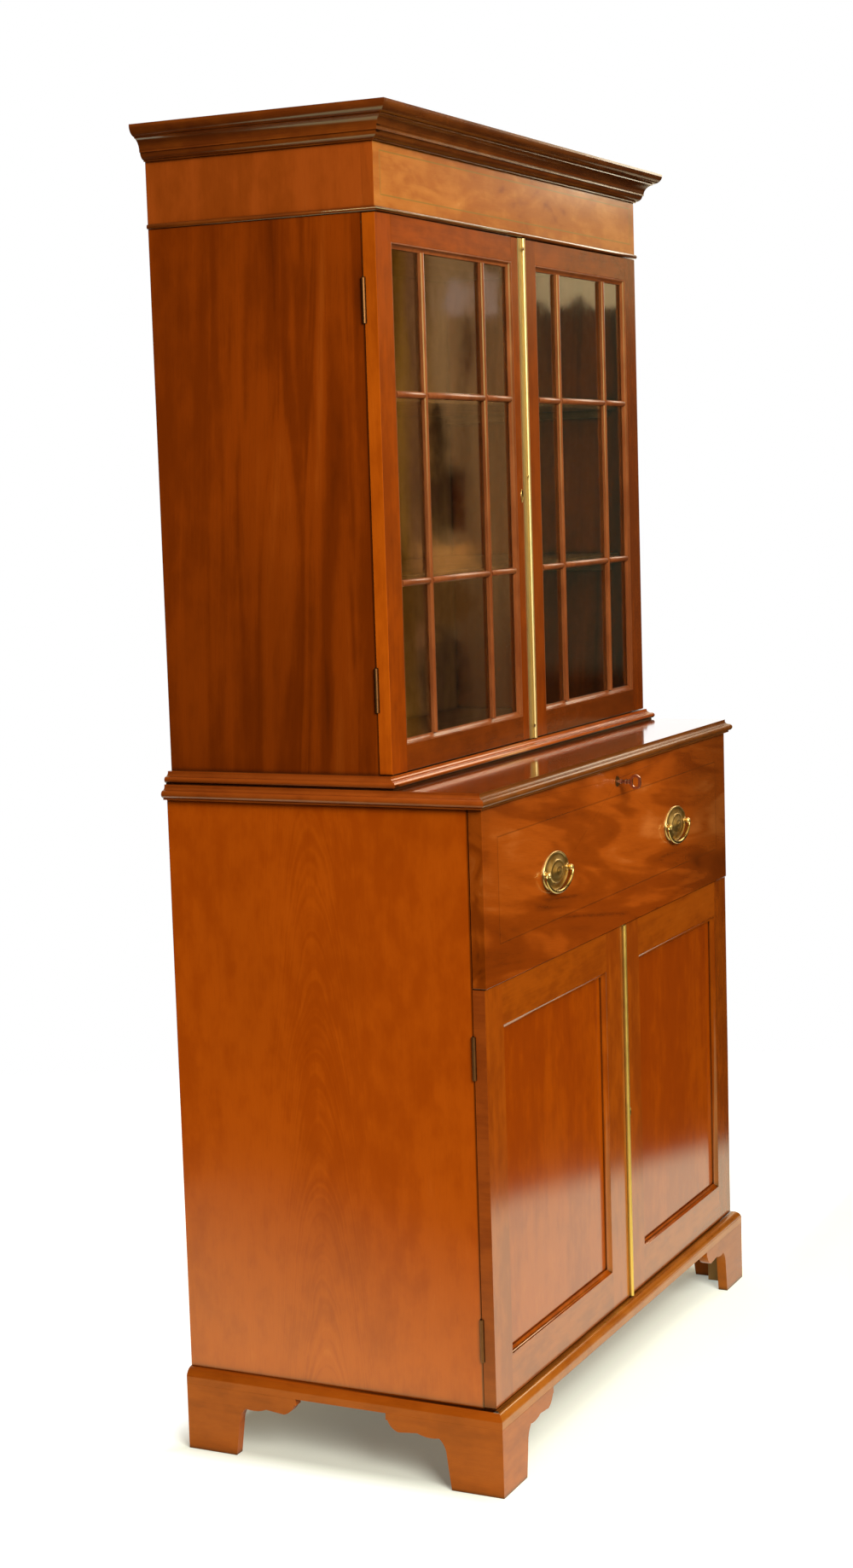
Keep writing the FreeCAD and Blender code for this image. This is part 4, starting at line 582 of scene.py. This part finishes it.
# %% Make the metals, the leather and the glass
# Pale, middle and dark colour, unevenness, roughness. The strips are rubbed bright by hands,
# the plates keep brown between their rings, the hinges have never been polished, the key has
# a red-brown skin, and the lock cases are dull grey.
METALS = {
    "strip": brass("bright_brass_strip", "#d8c080", "#c4a45c", "#967834", 0.2, 0.5, 0.0048),
    "hinge": brass("browned_hinge_barrel", "#80562e", "#5c3a1c", "#36200e", 0.6, 0.5),
    "plate": brass("stamped_brass_plate", "#eccf88", "#c49c4c", "#785626", 0.55, 0.38),
    "strip_low": brass("gilt_brass_strip", "#ecc864", "#cc9c38", "#9a701c", 0.3, 0.42),
    "fitting": brass("old_brass_fitting", "#d6bc70", "#a08038", "#4c3a10", 0.6, 0.26),
    "dull": brass("dull_hinge_brass", "#8a6230", "#62401c", "#3a240e", 0.6, 0.4),
    "key": brass("browned_steel_key", "#c89a80", "#8c5e4a", "#482a1e", 0.5, 0.34),
    "steel": brass("grey_lock_steel", "#8c8a86", "#66645f", "#3c3a36", 0.5, 0.42),
}
LEATHER = tooled_leather()
GLASS = old_glass()
print("metals:", ", ".join(METALS))

# %% [markdown]
# ## Which wood on which board
# A door frame is made of uprights and rails, and each must show its own grain. The frame could
# be cut into one object for each member, but the construction is finished and stays as it is.
# So every face is asked where its middle lies and gets the wood of the member it belongs to.

# %% Ways to choose a wood for a face
# How near a face must lie to a surface to belong to it: a door's outer edge, the returned
# ends of a front length, the front of a small drawer, the top of the top board.
NEAR_EDGE, NEAR_RETURN, NEAR_FRONT, NEAR_TOP = 0.0003, 0.0005, 0.0002, 0.0004


def finish_node(name, materials, choose=lambda centre: 0):
    """Puts the materials on a piece and lets choose pick one for each face."""
    mesh = NODES[name].data
    mesh.materials.clear()
    for material in materials:
        mesh.materials.append(material)
    for face in mesh.polygons:
        face.material_index = choose(face.center)


def framed(door, rail, stile_low, stile_high):
    """Rails lie level, stiles and their mouldings stand upright, and the outer edge is pale."""
    low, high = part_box(f"{door}_frame")

    def choose(centre):
        if centre.x < low.x + NEAR_EDGE or centre.x > high.x - NEAR_EDGE:
            return 2
        inside = low.x + stile_low < centre.x < high.x - stile_high
        return 1 if inside and not low.z + rail < centre.z < high.z - rail else 0
    return choose


def returned(half, front):
    """Front lengths have their grain along X and the returns along Y."""
    return lambda c: 1 if abs(c.x) > half - NEAR_RETURN and c.y > front else 0


def mitred(half, front):
    """Two lengths that meet in a mitre at the corner (half, front)."""
    return lambda c: 1 if abs(c.x) - half > front - c.y else 0


print("a face belongs to a surface within", NEAR_RETURN * 1000, "mm of it")

# %% Pieces of one wood
SINGLE = {
    "upper_left_side": "side_dark", "upper_right_side": "side_dark",
    "lower_left_side": "side_pale", "lower_right_side": "side_pale",
    "upper_boards": "plain_x", "shelves": "plain_x", "lower_bottom_board": "plain_x",
    "dust_board": "plain_x", "cornice_dust_board": "plain_x", "shelf_bearers": "plain_y",
    "upper_backboards": "plain_z", "lower_backboards": "plain_z", "foot_blocks": "plain_z",
    "lower_left_door_panel": "panel", "lower_right_door_panel": "panel",
    "baseboard": "level", "pigeonhole_case": "level", "pigeonhole_dividers": "upright",
    "drawer_box": "plain_y", "fall_board": "fall",
}
for name, wood in SINGLE.items():
    finish_node(name, [WOODS[wood]])
print("pieces of one wood:", len(SINGLE))

# %% Mouldings, frieze, feet and doors
UPPER_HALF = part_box("frieze_boards")[1].x
LOWER_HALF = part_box("lower_right_side")[1].x
UPPER_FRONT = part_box("upper_left_door_frame")[0].y
LOWER_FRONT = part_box("lower_left_door_frame")[0].y
finish_node("frieze_boards", [WOODS["frieze"], WOODS["side_red"]],
            returned(UPPER_HALF, UPPER_FRONT + 0.001))
for name, lengths, half, front in (
        ("cornice", ("cornice_x", "cornice_y"), UPPER_HALF, UPPER_FRONT),
        ("frieze_bead", ("cornice_x", "cornice_y"), UPPER_HALF, UPPER_FRONT),
        ("waist_moulding", ("moulding", "depth"), UPPER_HALF, UPPER_FRONT),
        ("plinth_rails", ("plinth_x", "foot_y"), LOWER_HALF, LOWER_FRONT),
        ("front_feet", ("foot_x", "foot_y"), LOWER_HALF, LOWER_FRONT),
        ("back_feet", ("foot_x", "foot_y"), LOWER_HALF, LOWER_FRONT)):
    finish_node(name, [WOODS[wood] for wood in lengths], mitred(half, front))
TOP_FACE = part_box("lower_top_board")[1].z
top_mitre = mitred(LOWER_HALF, LOWER_FRONT)
finish_node("lower_top_board", [WOODS["top"], WOODS["top_edge"], WOODS["depth"]],
            lambda c: 0 if c.z > TOP_FACE - NEAR_TOP else 1 + top_mitre(c))
for door, rail, left, right in (("upper_left_door", 0.041, 0.052, 0.050),
                                ("upper_right_door", 0.041, 0.050, 0.052),
                                ("lower_left_door", 0.064, 0.064, 0.075),
                                ("lower_right_door", 0.064, 0.075, 0.064)):
    sort = "sash_" if "upper" in door else ""
    finish_node(f"{door}_frame", [WOODS[f"{sort}upright"], WOODS[f"{sort}level"],
                                  WOODS["edge" if sort else "depth"]],
                framed(door, rail, left, right))
print("door frames:", sum(1 for name in NODES if name.endswith("door_frame")))

# %% Glass, small drawers and metalwork
for side in ("left", "right"):
    finish_node(f"upper_{side}_door_glass", [GLASS])
    finish_node(f"upper_{side}_door_glazing_bars", [WOODS["bars"]])
CASE_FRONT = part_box("pigeonhole_case")[0].y
for number in range(1, 5):
    finish_node(f"small_drawer_{number}", [WOODS["panel"], METALS["fitting"]],
                lambda c: 1 if c.y < CASE_FRONT - NEAR_FRONT else 0)
for name, metal in {"fall_hinge_plates": "fitting", "fall_hinge_leaves": "fitting",
                    "fall_quadrants": "fitting", "upper_astragal": "strip",
                    "lower_astragal": "strip_low",
                    "upper_door_lock": "steel", "lower_door_lock": "steel",
                    "fall_lock": "steel", "fall_lock_bolt": "fitting", "key": "key",
                    "keyhole_escutcheon": "dull", "handle_mounts": "fitting",
                    "left_bail": "fitting", "right_bail": "fitting"}.items():
    finish_node(name, [METALS[metal]])
finish_node("fall_leather", [LEATHER])
print("panes, drawer knobs, locks and fittings are finished")

# %% Hinges, with their barrels browner than their leaves
LARGEST_BARREL_FACE = 0.00008
HINGES = ["case_hinges"] + [name for name in NODES if name.endswith("door_hinge_leaves")]
for name in HINGES:
    finish_node(name, [METALS["dull"], METALS["hinge"]])
    for face in NODES[name].data.polygons:
        if face.area < LARGEST_BARREL_FACE:
            face.material_index = 1
print("hinge pieces:", len(HINGES))
print("finished:", sum(1 for o in NODES.values() if o.data.materials), "of", len(NODES))

# %% [markdown]
# ## Softened edges
# A planed board has no knife edge: long use has rounded it a little. Each wooden piece gets a
# bevel under a millimetre wide, which catches a thin line of light. It could be faked in the
# shader, but a real bevel also softens the outline. It is a modifier, so that the frame itself
# is not changed.

# %% Bevel the wood
SEAM, EDGE_WIDTH, EDGE_ANGLE = 0.00002, 0.0007, 40
SOFT_EDGES = [name for name, o in NODES.items()
              if o.data.materials[0] in list(WOODS.values()) and "divider" not in name]
for name in SOFT_EDGES:
    piece = NODES[name]
    weld = piece.modifiers.new("weld", "WELD")
    weld.merge_threshold = SEAM
    bevel = piece.modifiers.new("soft_edge", "BEVEL")
    bevel.width = EDGE_WIDTH
    bevel.segments = 2
    bevel.limit_method = "ANGLE"
    bevel.angle_limit = math.radians(EDGE_ANGLE)
    bevel.harden_normals = False
print("soft edges on", len(SOFT_EDGES), "pieces")

# %% [markdown]
# ## Handles
# Each oval plate was stamped in a die, which gives it a raised rim, a dished field and a domed
# middle with rings. Two posts with ball ends stand on it and carry the bail. A bump in the
# material could show the rings, but they are deep enough to shade one another, so a profile is
# turned about an axis, as on a lathe, and a wire is swept along the bail. Both stand in the same
# places as the plain shapes of the frame, which they replace.

# %% Surfaces turned about an axis and wires along a path
def turned(profile, centre, stretch=(1.0, 1.0), count=56):
    """Turned about the Y axis from (radius, reach towards the front), outermost first."""
    verts, faces = [], []
    for radius, reach in profile:
        for k in range(count):
            angle = 2 * math.pi * k / count
            verts.append((centre[0] + radius * stretch[0] * math.cos(angle),
                          centre[1] - reach,
                          centre[2] + radius * stretch[1] * math.sin(angle)))
    for start in range(0, (len(profile) - 1) * count, count):
        for k in range(count):
            a, b = start + k, start + (k + 1) % count
            faces.append((a, b, b + count, a + count))
    faces.append(tuple(range(len(verts) - count, len(verts))))
    return verts, faces


def swept(path, radii, sides=16):
    """A round wire along a path in a plane across the Y axis."""
    verts, faces = [], []
    for k, (point, radius) in enumerate(zip(path, radii)):
        ahead = Vector(path[min(k + 1, len(path) - 1)]) - Vector(path[max(k - 1, 0)])
        aside = ahead.normalized().cross(Vector((0, 1, 0)))
        for j in range(sides):
            angle = 2 * math.pi * j / sides
            ring = math.cos(angle) * aside + math.sin(angle) * Vector((0, 1, 0))
            verts.append(tuple(Vector(point) + radius * ring))
    for start in range(0, (len(path) - 1) * sides, sides):
        for j in range(sides):
            a, b = start + j, start + (j + 1) % sides
            faces.append((a, a + sides, b + sides, b))
    faces.append(tuple(range(sides)))
    faces.append(tuple(range(len(verts) - 1, len(verts) - sides - 1, -1)))
    return verts, faces


def piece_of(name, parts, material, body):
    """One smooth piece from several surfaces, which moves with a body of the frame."""
    verts, faces = [], []
    for part_verts, part_faces in parts:
        faces += [tuple(i + len(verts) for i in face) for face in part_faces]
        verts += part_verts
    mesh = bpy.data.meshes.new(name)
    mesh.from_pydata(verts, [], faces)
    mesh.shade_smooth()
    mesh.materials.append(material)
    piece = bpy.data.objects.new(name, mesh)
    scene.collection.objects.link(piece)
    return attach(piece, body) or piece


print("ready: turned surfaces and swept wires")

# %% Two plates with their posts
FALL_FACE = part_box("fall_board")[0].y
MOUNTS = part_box("handle_mounts")
PLATE_HALF, PLATE_RISE = 0.052, (MOUNTS[1].z - MOUNTS[0].z) / 2
HANDLE_X, HANDLE_Z = MOUNTS[1].x - PLATE_HALF, (MOUNTS[0].z + MOUNTS[1].z) / 2
DIE = [(1.0, 0.0), (1.0, 1.3), (0.985, 2.2), (0.955, 2.6), (0.925, 2.3), (0.905, 1.5),
       (0.87, 1.1), (0.80, 1.2), (0.70, 1.9), (0.62, 3.0), (0.585, 3.6), (0.56, 4.6),
       (0.53, 5.0), (0.50, 4.7), (0.47, 4.2), (0.40, 5.0), (0.31, 6.4), (0.28, 6.6),
       (0.25, 7.4), (0.22, 7.6), (0.19, 7.2), (0.16, 7.3), (0.09, 8.6), (0.02, 9.0)]
POST = [(5.6, 2.0), (5.6, 2.7), (4.2, 3.2), (3.1, 3.7), (2.9, 4.4), (3.6, 5.0), (4.6, 6.3),
        (5.0, 8.2), (4.7, 10.0), (3.6, 11.7), (2.0, 12.8), (0.2, 13.2)]
POST_X = 0.046
plates = []
for side in (-1, 1):
    plates.append(turned([(share, reach / 1000) for share, reach in DIE],
                         (side * HANDLE_X, FALL_FACE, HANDLE_Z), (PLATE_HALF, PLATE_RISE), 96))
    for end in (-1, 1):
        plates.append(turned([(radius / 1000, reach / 1000) for radius, reach in POST],
                             (side * HANDLE_X + end * POST_X, FALL_FACE, HANDLE_Z)))
piece = piece_of("stamped_plates", plates, METALS["plate"], "fall_front")
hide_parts("handle_mounts")
print("plates:", len(piece.data.vertices), "points")

# %% Two bails
BAIL_HALF, BAIL_DROP, BAIL_REACH = 0.0552, 0.033, 0.0082
for side, word in ((-1, "left"), (1, "right")):
    half = [(0.0442, 0.0), (0.0500, 0.0), (0.0532, -0.0003), (0.0548, -0.0014)]
    half += [(BAIL_HALF * math.cos(a), -BAIL_DROP * math.sin(a))
             for a in [math.pi / 2 * k / 20 for k in range(2, 21)]]
    line = [(-x, z) for x, z in half] + list(reversed(half))[1:]
    thick = [0.0020 + 0.0009 * min(1.0, -z / BAIL_DROP * 1.3) for x, z in line]
    path = [(side * HANDLE_X + x, FALL_FACE - BAIL_REACH, HANDLE_Z + z) for x, z in line]
    piece = piece_of(f"cast_{word}_bail", [swept(path, thick)], METALS["fitting"],
                     f"{word}_bail")
    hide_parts(f"{word}_bail")
    print(f"{word} bail:", len(path), "steps along the wire")

# %% [markdown]
# ## Small brasswork
# The strip over the meeting of the upper doors is held by screws near its ends and has an empty
# hole near the middle. Each pair of doors has a thin oval brass rim round its keyhole. They
# could be cut into the strip and the doors, but at this size a low shape laid on top gives the
# same light and dark, and the frame stays whole. The rims are turned like the plates.

# %% Two screws
def screw_head(spot, radius, turn):
    """A low head with a slot, as a grid of columns that bend round its outline."""
    columns = [-1, -0.85, -0.6, -0.35, -0.14, -0.13, 0.13, 0.14, 0.35, 0.6, 0.85, 1]
    verts, faces = [], []
    for across in columns:
        for k in range(9):
            up = (k / 4 - 1) * math.sqrt(1 - across * across)
            rise = 0.00008 if abs(across) < 0.135 else 0.0005 - 0.0003 * (across ** 2 + up ** 2)
            x = radius * (across * math.cos(turn) - up * math.sin(turn))
            z = radius * (across * math.sin(turn) + up * math.cos(turn))
            verts.append((spot[0] + x, spot[1] - rise, spot[2] + z))
    for start in range(0, (len(columns) - 1) * 9, 9):
        for k in range(8):
            faces.append((start + k, start + k + 9, start + k + 10, start + k + 1))
    return verts, faces


UPPER_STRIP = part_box("upper_astragal")
strip_x = (UPPER_STRIP[0].x + UPPER_STRIP[1].x) / 2
strip_face = UPPER_STRIP[0].y
HEAD_RADIUS = 0.0032
heads = [
    screw_head((strip_x - 0.001, strip_face, UPPER_STRIP[1].z - 0.018), HEAD_RADIUS, 0.5),
    screw_head((strip_x - 0.003, strip_face, UPPER_STRIP[0].z + 0.022), HEAD_RADIUS, 1.9)]
piece_of("strip_screws", heads, METALS["dull"], "upper_left_door")
print("screws:", len(heads))

# %% An empty hole and two keyholes
LOWER_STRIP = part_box("lower_astragal")
RIM = [(1.0, 0.0), (1.0, 0.5), (0.93, 0.8), (0.84, 0.6), (0.80, 0.2)]
# The holes are discs laid on top: painted shade where the depth of each hole would be.
HOLE_SHADE = [(0.82, 0.2), (0.6, 0.12), (0.05, 0.1)]
for name, spot, size, body in (
        ("strip_hole", (strip_x - 0.004, strip_face, 1.572), (0.0028, 0.0028),
         "upper_left_door"),
        ("upper_keyhole", (UPPER_STRIP[0].x - 0.007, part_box("upper_left_door_frame")[0].y,
                           1.5395), (0.0045, 0.0115), "upper_left_door"),
        ("lower_keyhole", (LOWER_STRIP[1].x + 0.006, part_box("lower_right_door_frame")[0].y,
                           0.464), (0.0035, 0.0075), "lower_right_door")):
    for part, profile, metal in (("rim", RIM, "fitting"), ("hole", HOLE_SHADE, "key")):
        piece_of(f"{name}_{part}", [turned([(r, h / 1000) for r, h in profile], spot, size, 40)],
                 METALS[metal], body)
    print(name, "at", [round(c, 3) for c in spot])

# %% [markdown]
# ## Stage, camera and light
# The piece stands on white paper, as in a photo studio. A whole white room could be built, but
# one sheet that fades out at its ends and a white background do the same. The camera stands
# at eye height, well to the left of the front.

# %% The paper on the floor
def plane(name, centre, size):
    """A level rectangle."""
    mesh = bpy.data.meshes.new(name)
    x, y = size[0] / 2, size[1] / 2
    mesh.from_pydata([(-x, -y, 0), (x, -y, 0), (x, y, 0), (-x, y, 0)], [], [(0, 1, 2, 3)])
    piece = bpy.data.objects.new(name, mesh)
    piece.location = centre
    scene.collection.objects.link(piece)
    return piece


def between(tree, value, low, high, soft):
    """One inside the span and zero outside, with soft edges."""
    rise = add(tree, "Math",
               {0: add(tree, "Math", {0: value, 1: low}, operation="SUBTRACT"), 1: soft},
               operation="DIVIDE", use_clamp=True)
    fall_off = add(tree, "Math",
                   {0: add(tree, "Math", {0: high, 1: value}, operation="SUBTRACT"), 1: soft},
                   operation="DIVIDE", use_clamp=True)
    return add(tree, "Math", {0: rise, 1: fall_off}, operation="MULTIPLY")


# Spans and fades in metres, along the view's own left and right and its near and far.
VIEW_HEADING = 0.454
PAPER = {"along": (-1.45, 2.3), "along_fade": 0.7, "across": (-1.9, 1.24), "across_fade": 0.13}
floor = plane("studio_floor", (0, 0, -0.0005), (8, 8))
floor_material, tree, surface = new_material("white_paper_floor")
coords = add(tree, "TexCoord").outputs["Object"]
viewed = add(tree, "Mapping", {"Vector": coords, "Rotation": (0, 0, -VIEW_HEADING)})
split = add(tree, "SeparateXYZ", {"Vector": viewed.outputs["Vector"]})
across = add(tree, "Math", {0: split.outputs["Y"], 1: -1.0}, operation="MULTIPLY")
shown = add(tree, "Math",
            {0: between(tree, split.outputs["X"], *PAPER["along"], PAPER["along_fade"]),
             1: between(tree, across, *PAPER["across"], PAPER["across_fade"])},
            operation="MULTIPLY")
print("paper:", floor.name, "headed", round(math.degrees(VIEW_HEADING), 1), "degrees")

# %% [markdown]
# Studio paper is lit by lamps of its own, so that it turns white in the picture. More lamps
# would also light the piece, so the paper glows by itself instead: most behind and beside the
# piece, less in front of it and least under it, where its shadow lies.

# %% How the paper glows
GLOW_EVERYWHERE, GLOW_BEHIND, GLOW_BEFORE = 0.12, 0.9, 0.38
RISE_BEHIND, RISE_BEFORE = 0.1, 0.08
here = add(tree, "SeparateXYZ", {"Vector": coords})
to_left = add(tree, "Math", {0: here.outputs["X"], 1: -1.0}, operation="MULTIPLY")
to_front = add(tree, "Math", {0: here.outputs["Y"], 1: -1.0}, operation="MULTIPLY")
to_right = add(tree, "Math", {0: here.outputs["X"], 1: size_before[1].x}, operation="SUBTRACT")
behind = add(tree, "Math",
             {0: add(tree, "Math", {0: to_left, 1: size_before[1].x - 0.03},
                     operation="SUBTRACT"),
              1: add(tree, "Math", {0: here.outputs["Y"], 1: size_before[1].y - 0.02},
                     operation="SUBTRACT")}, operation="MAXIMUM")
aside = add(tree, "Math",
            {0: to_right, 1: add(tree, "Math", {0: here.outputs["Y"], 1: 0.35}, operation="ADD")},
            operation="MINIMUM")
behind = add(tree, "Math", {0: behind, 1: aside}, operation="MAXIMUM")
behind = add(tree, "Math", {0: behind, 1: RISE_BEHIND}, operation="DIVIDE", use_clamp=True)
before = add(tree, "Math",
             {0: add(tree, "Math", {0: to_front, 1: 0.17}, operation="SUBTRACT"), 1: to_right},
             operation="MAXIMUM")
before = add(tree, "Math", {0: before, 1: RISE_BEFORE}, operation="DIVIDE", use_clamp=True)
glow = add(tree, "Math",
           {0: add(tree, "Math", {0: behind, 1: GLOW_BEHIND}, operation="MULTIPLY"),
            1: add(tree, "Math", {0: before, 1: GLOW_BEFORE}, operation="MULTIPLY")},
           operation="MAXIMUM")
fibres = add(tree, "TexNoise", {"Vector": coords, "Scale": 6, "Detail": 4.0, "Roughness": 0.55})
paper_colour = add(tree, "ValToRGB", {"Fac": fibres}, stops=[(0.2, "#d4dacd"), (0.8, "#d8ddd0")])
glow = add(tree, "Math", {0: glow, 1: GLOW_EVERYWHERE}, operation="ADD")
glow_colour = add(tree, "Mix", {0: behind, 6: linear("#f9fff1"), 7: linear("#fdffff")},
                  data_type="RGBA")
plug(surface, {"Base Color": paper_colour, "Roughness": 0.8, "Specular IOR Level": 0.1,
               "Emission Strength": glow, "Emission Color": glow_colour, "Alpha": shown})
floor.data.materials.append(floor_material)
print("floor nodes:", len(tree.nodes))

# %% Camera
# Place, turn and lens come from a fit to the corners of the piece, whose size is known.
CASE_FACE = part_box("lower_left_side")[0].y
SENSOR, FOCAL_PIXELS, FRAME_PIXELS = 36.0, 2902.33, 1838
camera_data = bpy.data.cameras.new("studio_camera")
camera_data.sensor_fit = "VERTICAL"
camera_data.sensor_height = SENSOR
camera_data.lens = SENSOR * FOCAL_PIXELS / FRAME_PIXELS
camera_data.clip_end = 200
camera = bpy.data.objects.new("studio_camera", camera_data)
camera.location = (-3.9189, -1.5693 + CASE_FACE, 1.5672)
camera.rotation_euler = Euler((1.4497, 0.0307, -1.1215), "XYZ")
scene.collection.objects.link(camera)
scene.camera = camera
print("camera at", [round(c, 2) for c in camera.location], "lens", round(camera_data.lens, 1))

# %% Lights
def softbox(name, place, aim, size, watts, colour):
    """A rectangular lamp that faces a point."""
    data = bpy.data.lights.new(name, "AREA")
    data.shape = "RECTANGLE"
    data.size, data.size_y = size
    data.energy = watts
    data.color = colour
    lamp = bpy.data.objects.new(name, data)
    lamp.location = place
    lamp.rotation_euler = (Vector(aim) - Vector(place)).to_track_quat("-Z", "Y").to_euler()
    scene.collection.objects.link(lamp)
    print(name, "of", watts, "watts")


softbox("key_softbox", (-3.3, -3.9, 3.3), (0, 0, 1.1), (2.6, 2.6), 420, (1.0, 0.97, 0.93))
softbox("top_softbox", (0.3, -0.9, 4.6), (0, 0, 0.9), (3.2, 3.2), 80, (1.0, 0.86, 0.68))
softbox("right_softbox", (4.4, -1.0, 3.3), (0, 0, 1.0), (1.6, 1.6), 50, (1.0, 0.88, 0.72))

# %% [markdown]
# ## The room in the reflections
# What polished wood and glass show is the room around them. Only reflections see this room:
# behind the piece the camera sees white. The room is dark, with a beige curtain to the right.
# The white paper on the floor ends about a metre in front of the piece, so the lower doors
# reflect it and the upper doors don't. Walls and a curtain could be modelled, but wavy glass
# blurs them to soft patches, so the room is painted by direction. Every azimuth and height is
# in degrees.

# %% Directions in the room
world = bpy.data.worlds.new("studio_room")
scene.world = world
world.use_nodes = True
tree = world.node_tree
tree.nodes.clear()
direction = add(tree, "TexCoord").outputs["Generated"]
split = add(tree, "SeparateXYZ", {"Vector": direction})
azimuth = add(tree, "Math",
              {0: add(tree, "Math", {0: split.outputs["Y"], 1: split.outputs["X"]},
                      operation="ARCTAN2"), 1: 180 / math.pi}, operation="MULTIPLY")
height = add(tree, "Math",
             {0: add(tree, "Math", {0: split.outputs["Z"]}, operation="ARCSINE"),
              1: 180 / math.pi}, operation="MULTIPLY")
spot = add(tree, "CombineXYZ", {"X": azimuth, "Y": height}).outputs["Vector"]
wander = add(tree, "Math",
             {0: add(tree, "TexNoise",
                     {"Vector": spot, "Scale": 1.6, "Detail": 3.0, "Roughness": 0.55}), 1: 0.5},
             operation="SUBTRACT")


def uneven(across, up, scale, detail):
    """Noise over the room, squeezed by its own share in azimuth and in height."""
    mapped = add(tree, "Mapping", {"Vector": spot, "Scale": (across, up, 1)})
    return add(tree, "TexNoise",
               {"Vector": mapped.outputs["Vector"], "Scale": scale, "Detail": detail,
                "Roughness": 0.55})


def patch(across, up):
    """A soft rectangle in the room. across and up are (from, to, softness)."""
    return add(tree, "Math", {0: between(tree, azimuth, *across), 1: between(tree, height, *up)},
               operation="MULTIPLY")


hills, folds = uneven(1, 0, 1.1, 1.5), uneven(2.6, 0.1, 1.0, 3.0)
print("room:", world.name, "with", len(tree.nodes), "nodes for its directions")

# %% Walls and curtain
room = add(tree, "ValToRGB",
           {"Fac": add(tree, "Math", {0: split.outputs["Z"], 1: 0.5, 2: 0.5},
                       operation="MULTIPLY_ADD")},
           stops=[(0.38, "#1a140c"), (0.55, "#221a10"), (0.8, "#4a3c28"), (1.0, "#6a5840")])
curtain = add(tree, "ValToRGB", {"Fac": along_axis(tree, spot, "y", -6.5, 5.5)},
              stops=[(0.1, "#7e5838"), (0.45, "#b88552"), (0.95, "#d49e66")])
warm = add(tree, "ValToRGB", {"Fac": folds}, stops=[(0.36, "#9c5c10"), (0.64, "#e8a03c")])
curtain = add(tree, "Mix", {0: between(tree, azimuth, -60, -25.5, 0.25), 6: curtain, 7: warm},
              data_type="RGBA")
curtain = add(tree, "Mix",
              {0: between(tree, azimuth, -26.15, -25.7, 0.15), 6: curtain, 7: linear("#c07a50")},
              data_type="RGBA")
pleats = add(tree, "ValToRGB", {"Fac": folds}, stops=[(0.3, "#b0b0b0"), (0.7, "#ffffff")])
curtain = add(tree, "Mix", {0: 1.0, 6: curtain, 7: pleats}, data_type="RGBA",
              blend_type="MULTIPLY")
left_part = patch((-26.7, -23.3, 0.2), (-8, 5.8, 0.6))
right_low = patch((-23.4, -8, 0.2), (-4.6, 5.8, 0.4))
pale_part = patch((-82, -40, 8), (-8, 30, 6))
skyline = add(tree, "Math",
              {0: add(tree, "Math", {0: hills, 1: 0.5}, operation="SUBTRACT"), 1: 2.4, 2: height},
              operation="MULTIPLY_ADD")
right_part = add(tree, "Math",
                 {0: patch((-23.4, -8, 0.2), (0, 5.8, 0.3)),
                  1: between(tree, skyline, 3.75, 20, 0.12)}, operation="MULTIPLY")
for part, colour in ((pale_part, linear("#d8c098")), (left_part, curtain),
                     (right_low, linear("#403c2d")), (right_part, linear("#e8c894"))):
    room = add(tree, "Mix", {0: part, 6: room, 7: colour}, data_type="RGBA")
print("room nodes with walls and curtain:", len(tree.nodes))

# %% Soft ovals in the curtain
def blot(centre, size):
    """A soft oval in the room, from one in its middle to zero at its rim."""
    shift = add(tree, "VectorMath", {0: spot, 1: (*centre, 0)}, operation="SUBTRACT")
    scaled = add(tree, "VectorMath", {0: shift.outputs[0], 1: (*size, 1)}, operation="DIVIDE")
    reach = add(tree, "VectorMath", {0: scaled.outputs[0]}, operation="LENGTH")
    reach = add(tree, "Math", {0: wander, 1: 1.5, 2: reach.outputs["Value"]},
                operation="MULTIPLY_ADD")
    return add(tree, "Math",
               {0: add(tree, "Math", {0: 1.0, 1: reach}, operation="SUBTRACT"), 1: 3.0},
               operation="MULTIPLY", use_clamp=True)


for centre, size, colour in (((-25.5, -2.75), (0.85, 0.8), "#7a4e24"),
                             ((-25.35, -1.72), (0.8, 0.42), "#f4a456"),
                             ((-25.55, -4.6), (0.6, 1.5), "#34241a"),
                             ((-25.35, -0.4), (0.58, 1.1), "#2a1a12"),
                             ((-25.45, 1.1), (0.3, 0.9), "#24160e"),
                             ((-24.7, 3.0), (0.12, 0.9), "#4a2c1c"),
                             ((-24.95, 4.1), (0.34, 0.5), "#d8ae94"),
                             ((-24.25, 4.2), (0.3, 0.65), "#d8ae94")):
    room = add(tree, "Mix", {0: blot(centre, size), 6: room, 7: linear(colour)}, data_type="RGBA")
print("room nodes with the ovals:", len(tree.nodes))

# %% The lit backdrop opposite, and what the camera sees
backdrop = patch((2, 62, 6), (-12, 38, 4))
opposite = patch((17, 36, 2), (-2, 14, 2))
backdrop_colour = add(tree, "Mix", {0: opposite, 6: linear("#f0d8b0"), 7: (1, 1, 1, 1)},
                      data_type="RGBA")
room = add(tree, "Mix", {0: backdrop, 6: room, 7: backdrop_colour}, data_type="RGBA")
seen = add(tree, "LightPath").outputs["Is Camera Ray"]
white = add(tree, "Background", {"Color": (1, 1, 1, 1), "Strength": 1.0})
studio = add(tree, "Background", {"Color": room, "Strength": 1.5})
both = add(tree, "MixShader", {0: seen, 1: studio.outputs[0], 2: white.outputs[0]})
add(tree, "OutputWorld", {"Surface": both.outputs[0]})
scene.view_settings.view_transform = "Standard"
print("room nodes:", len(tree.nodes), "and view:", scene.view_settings.view_transform)
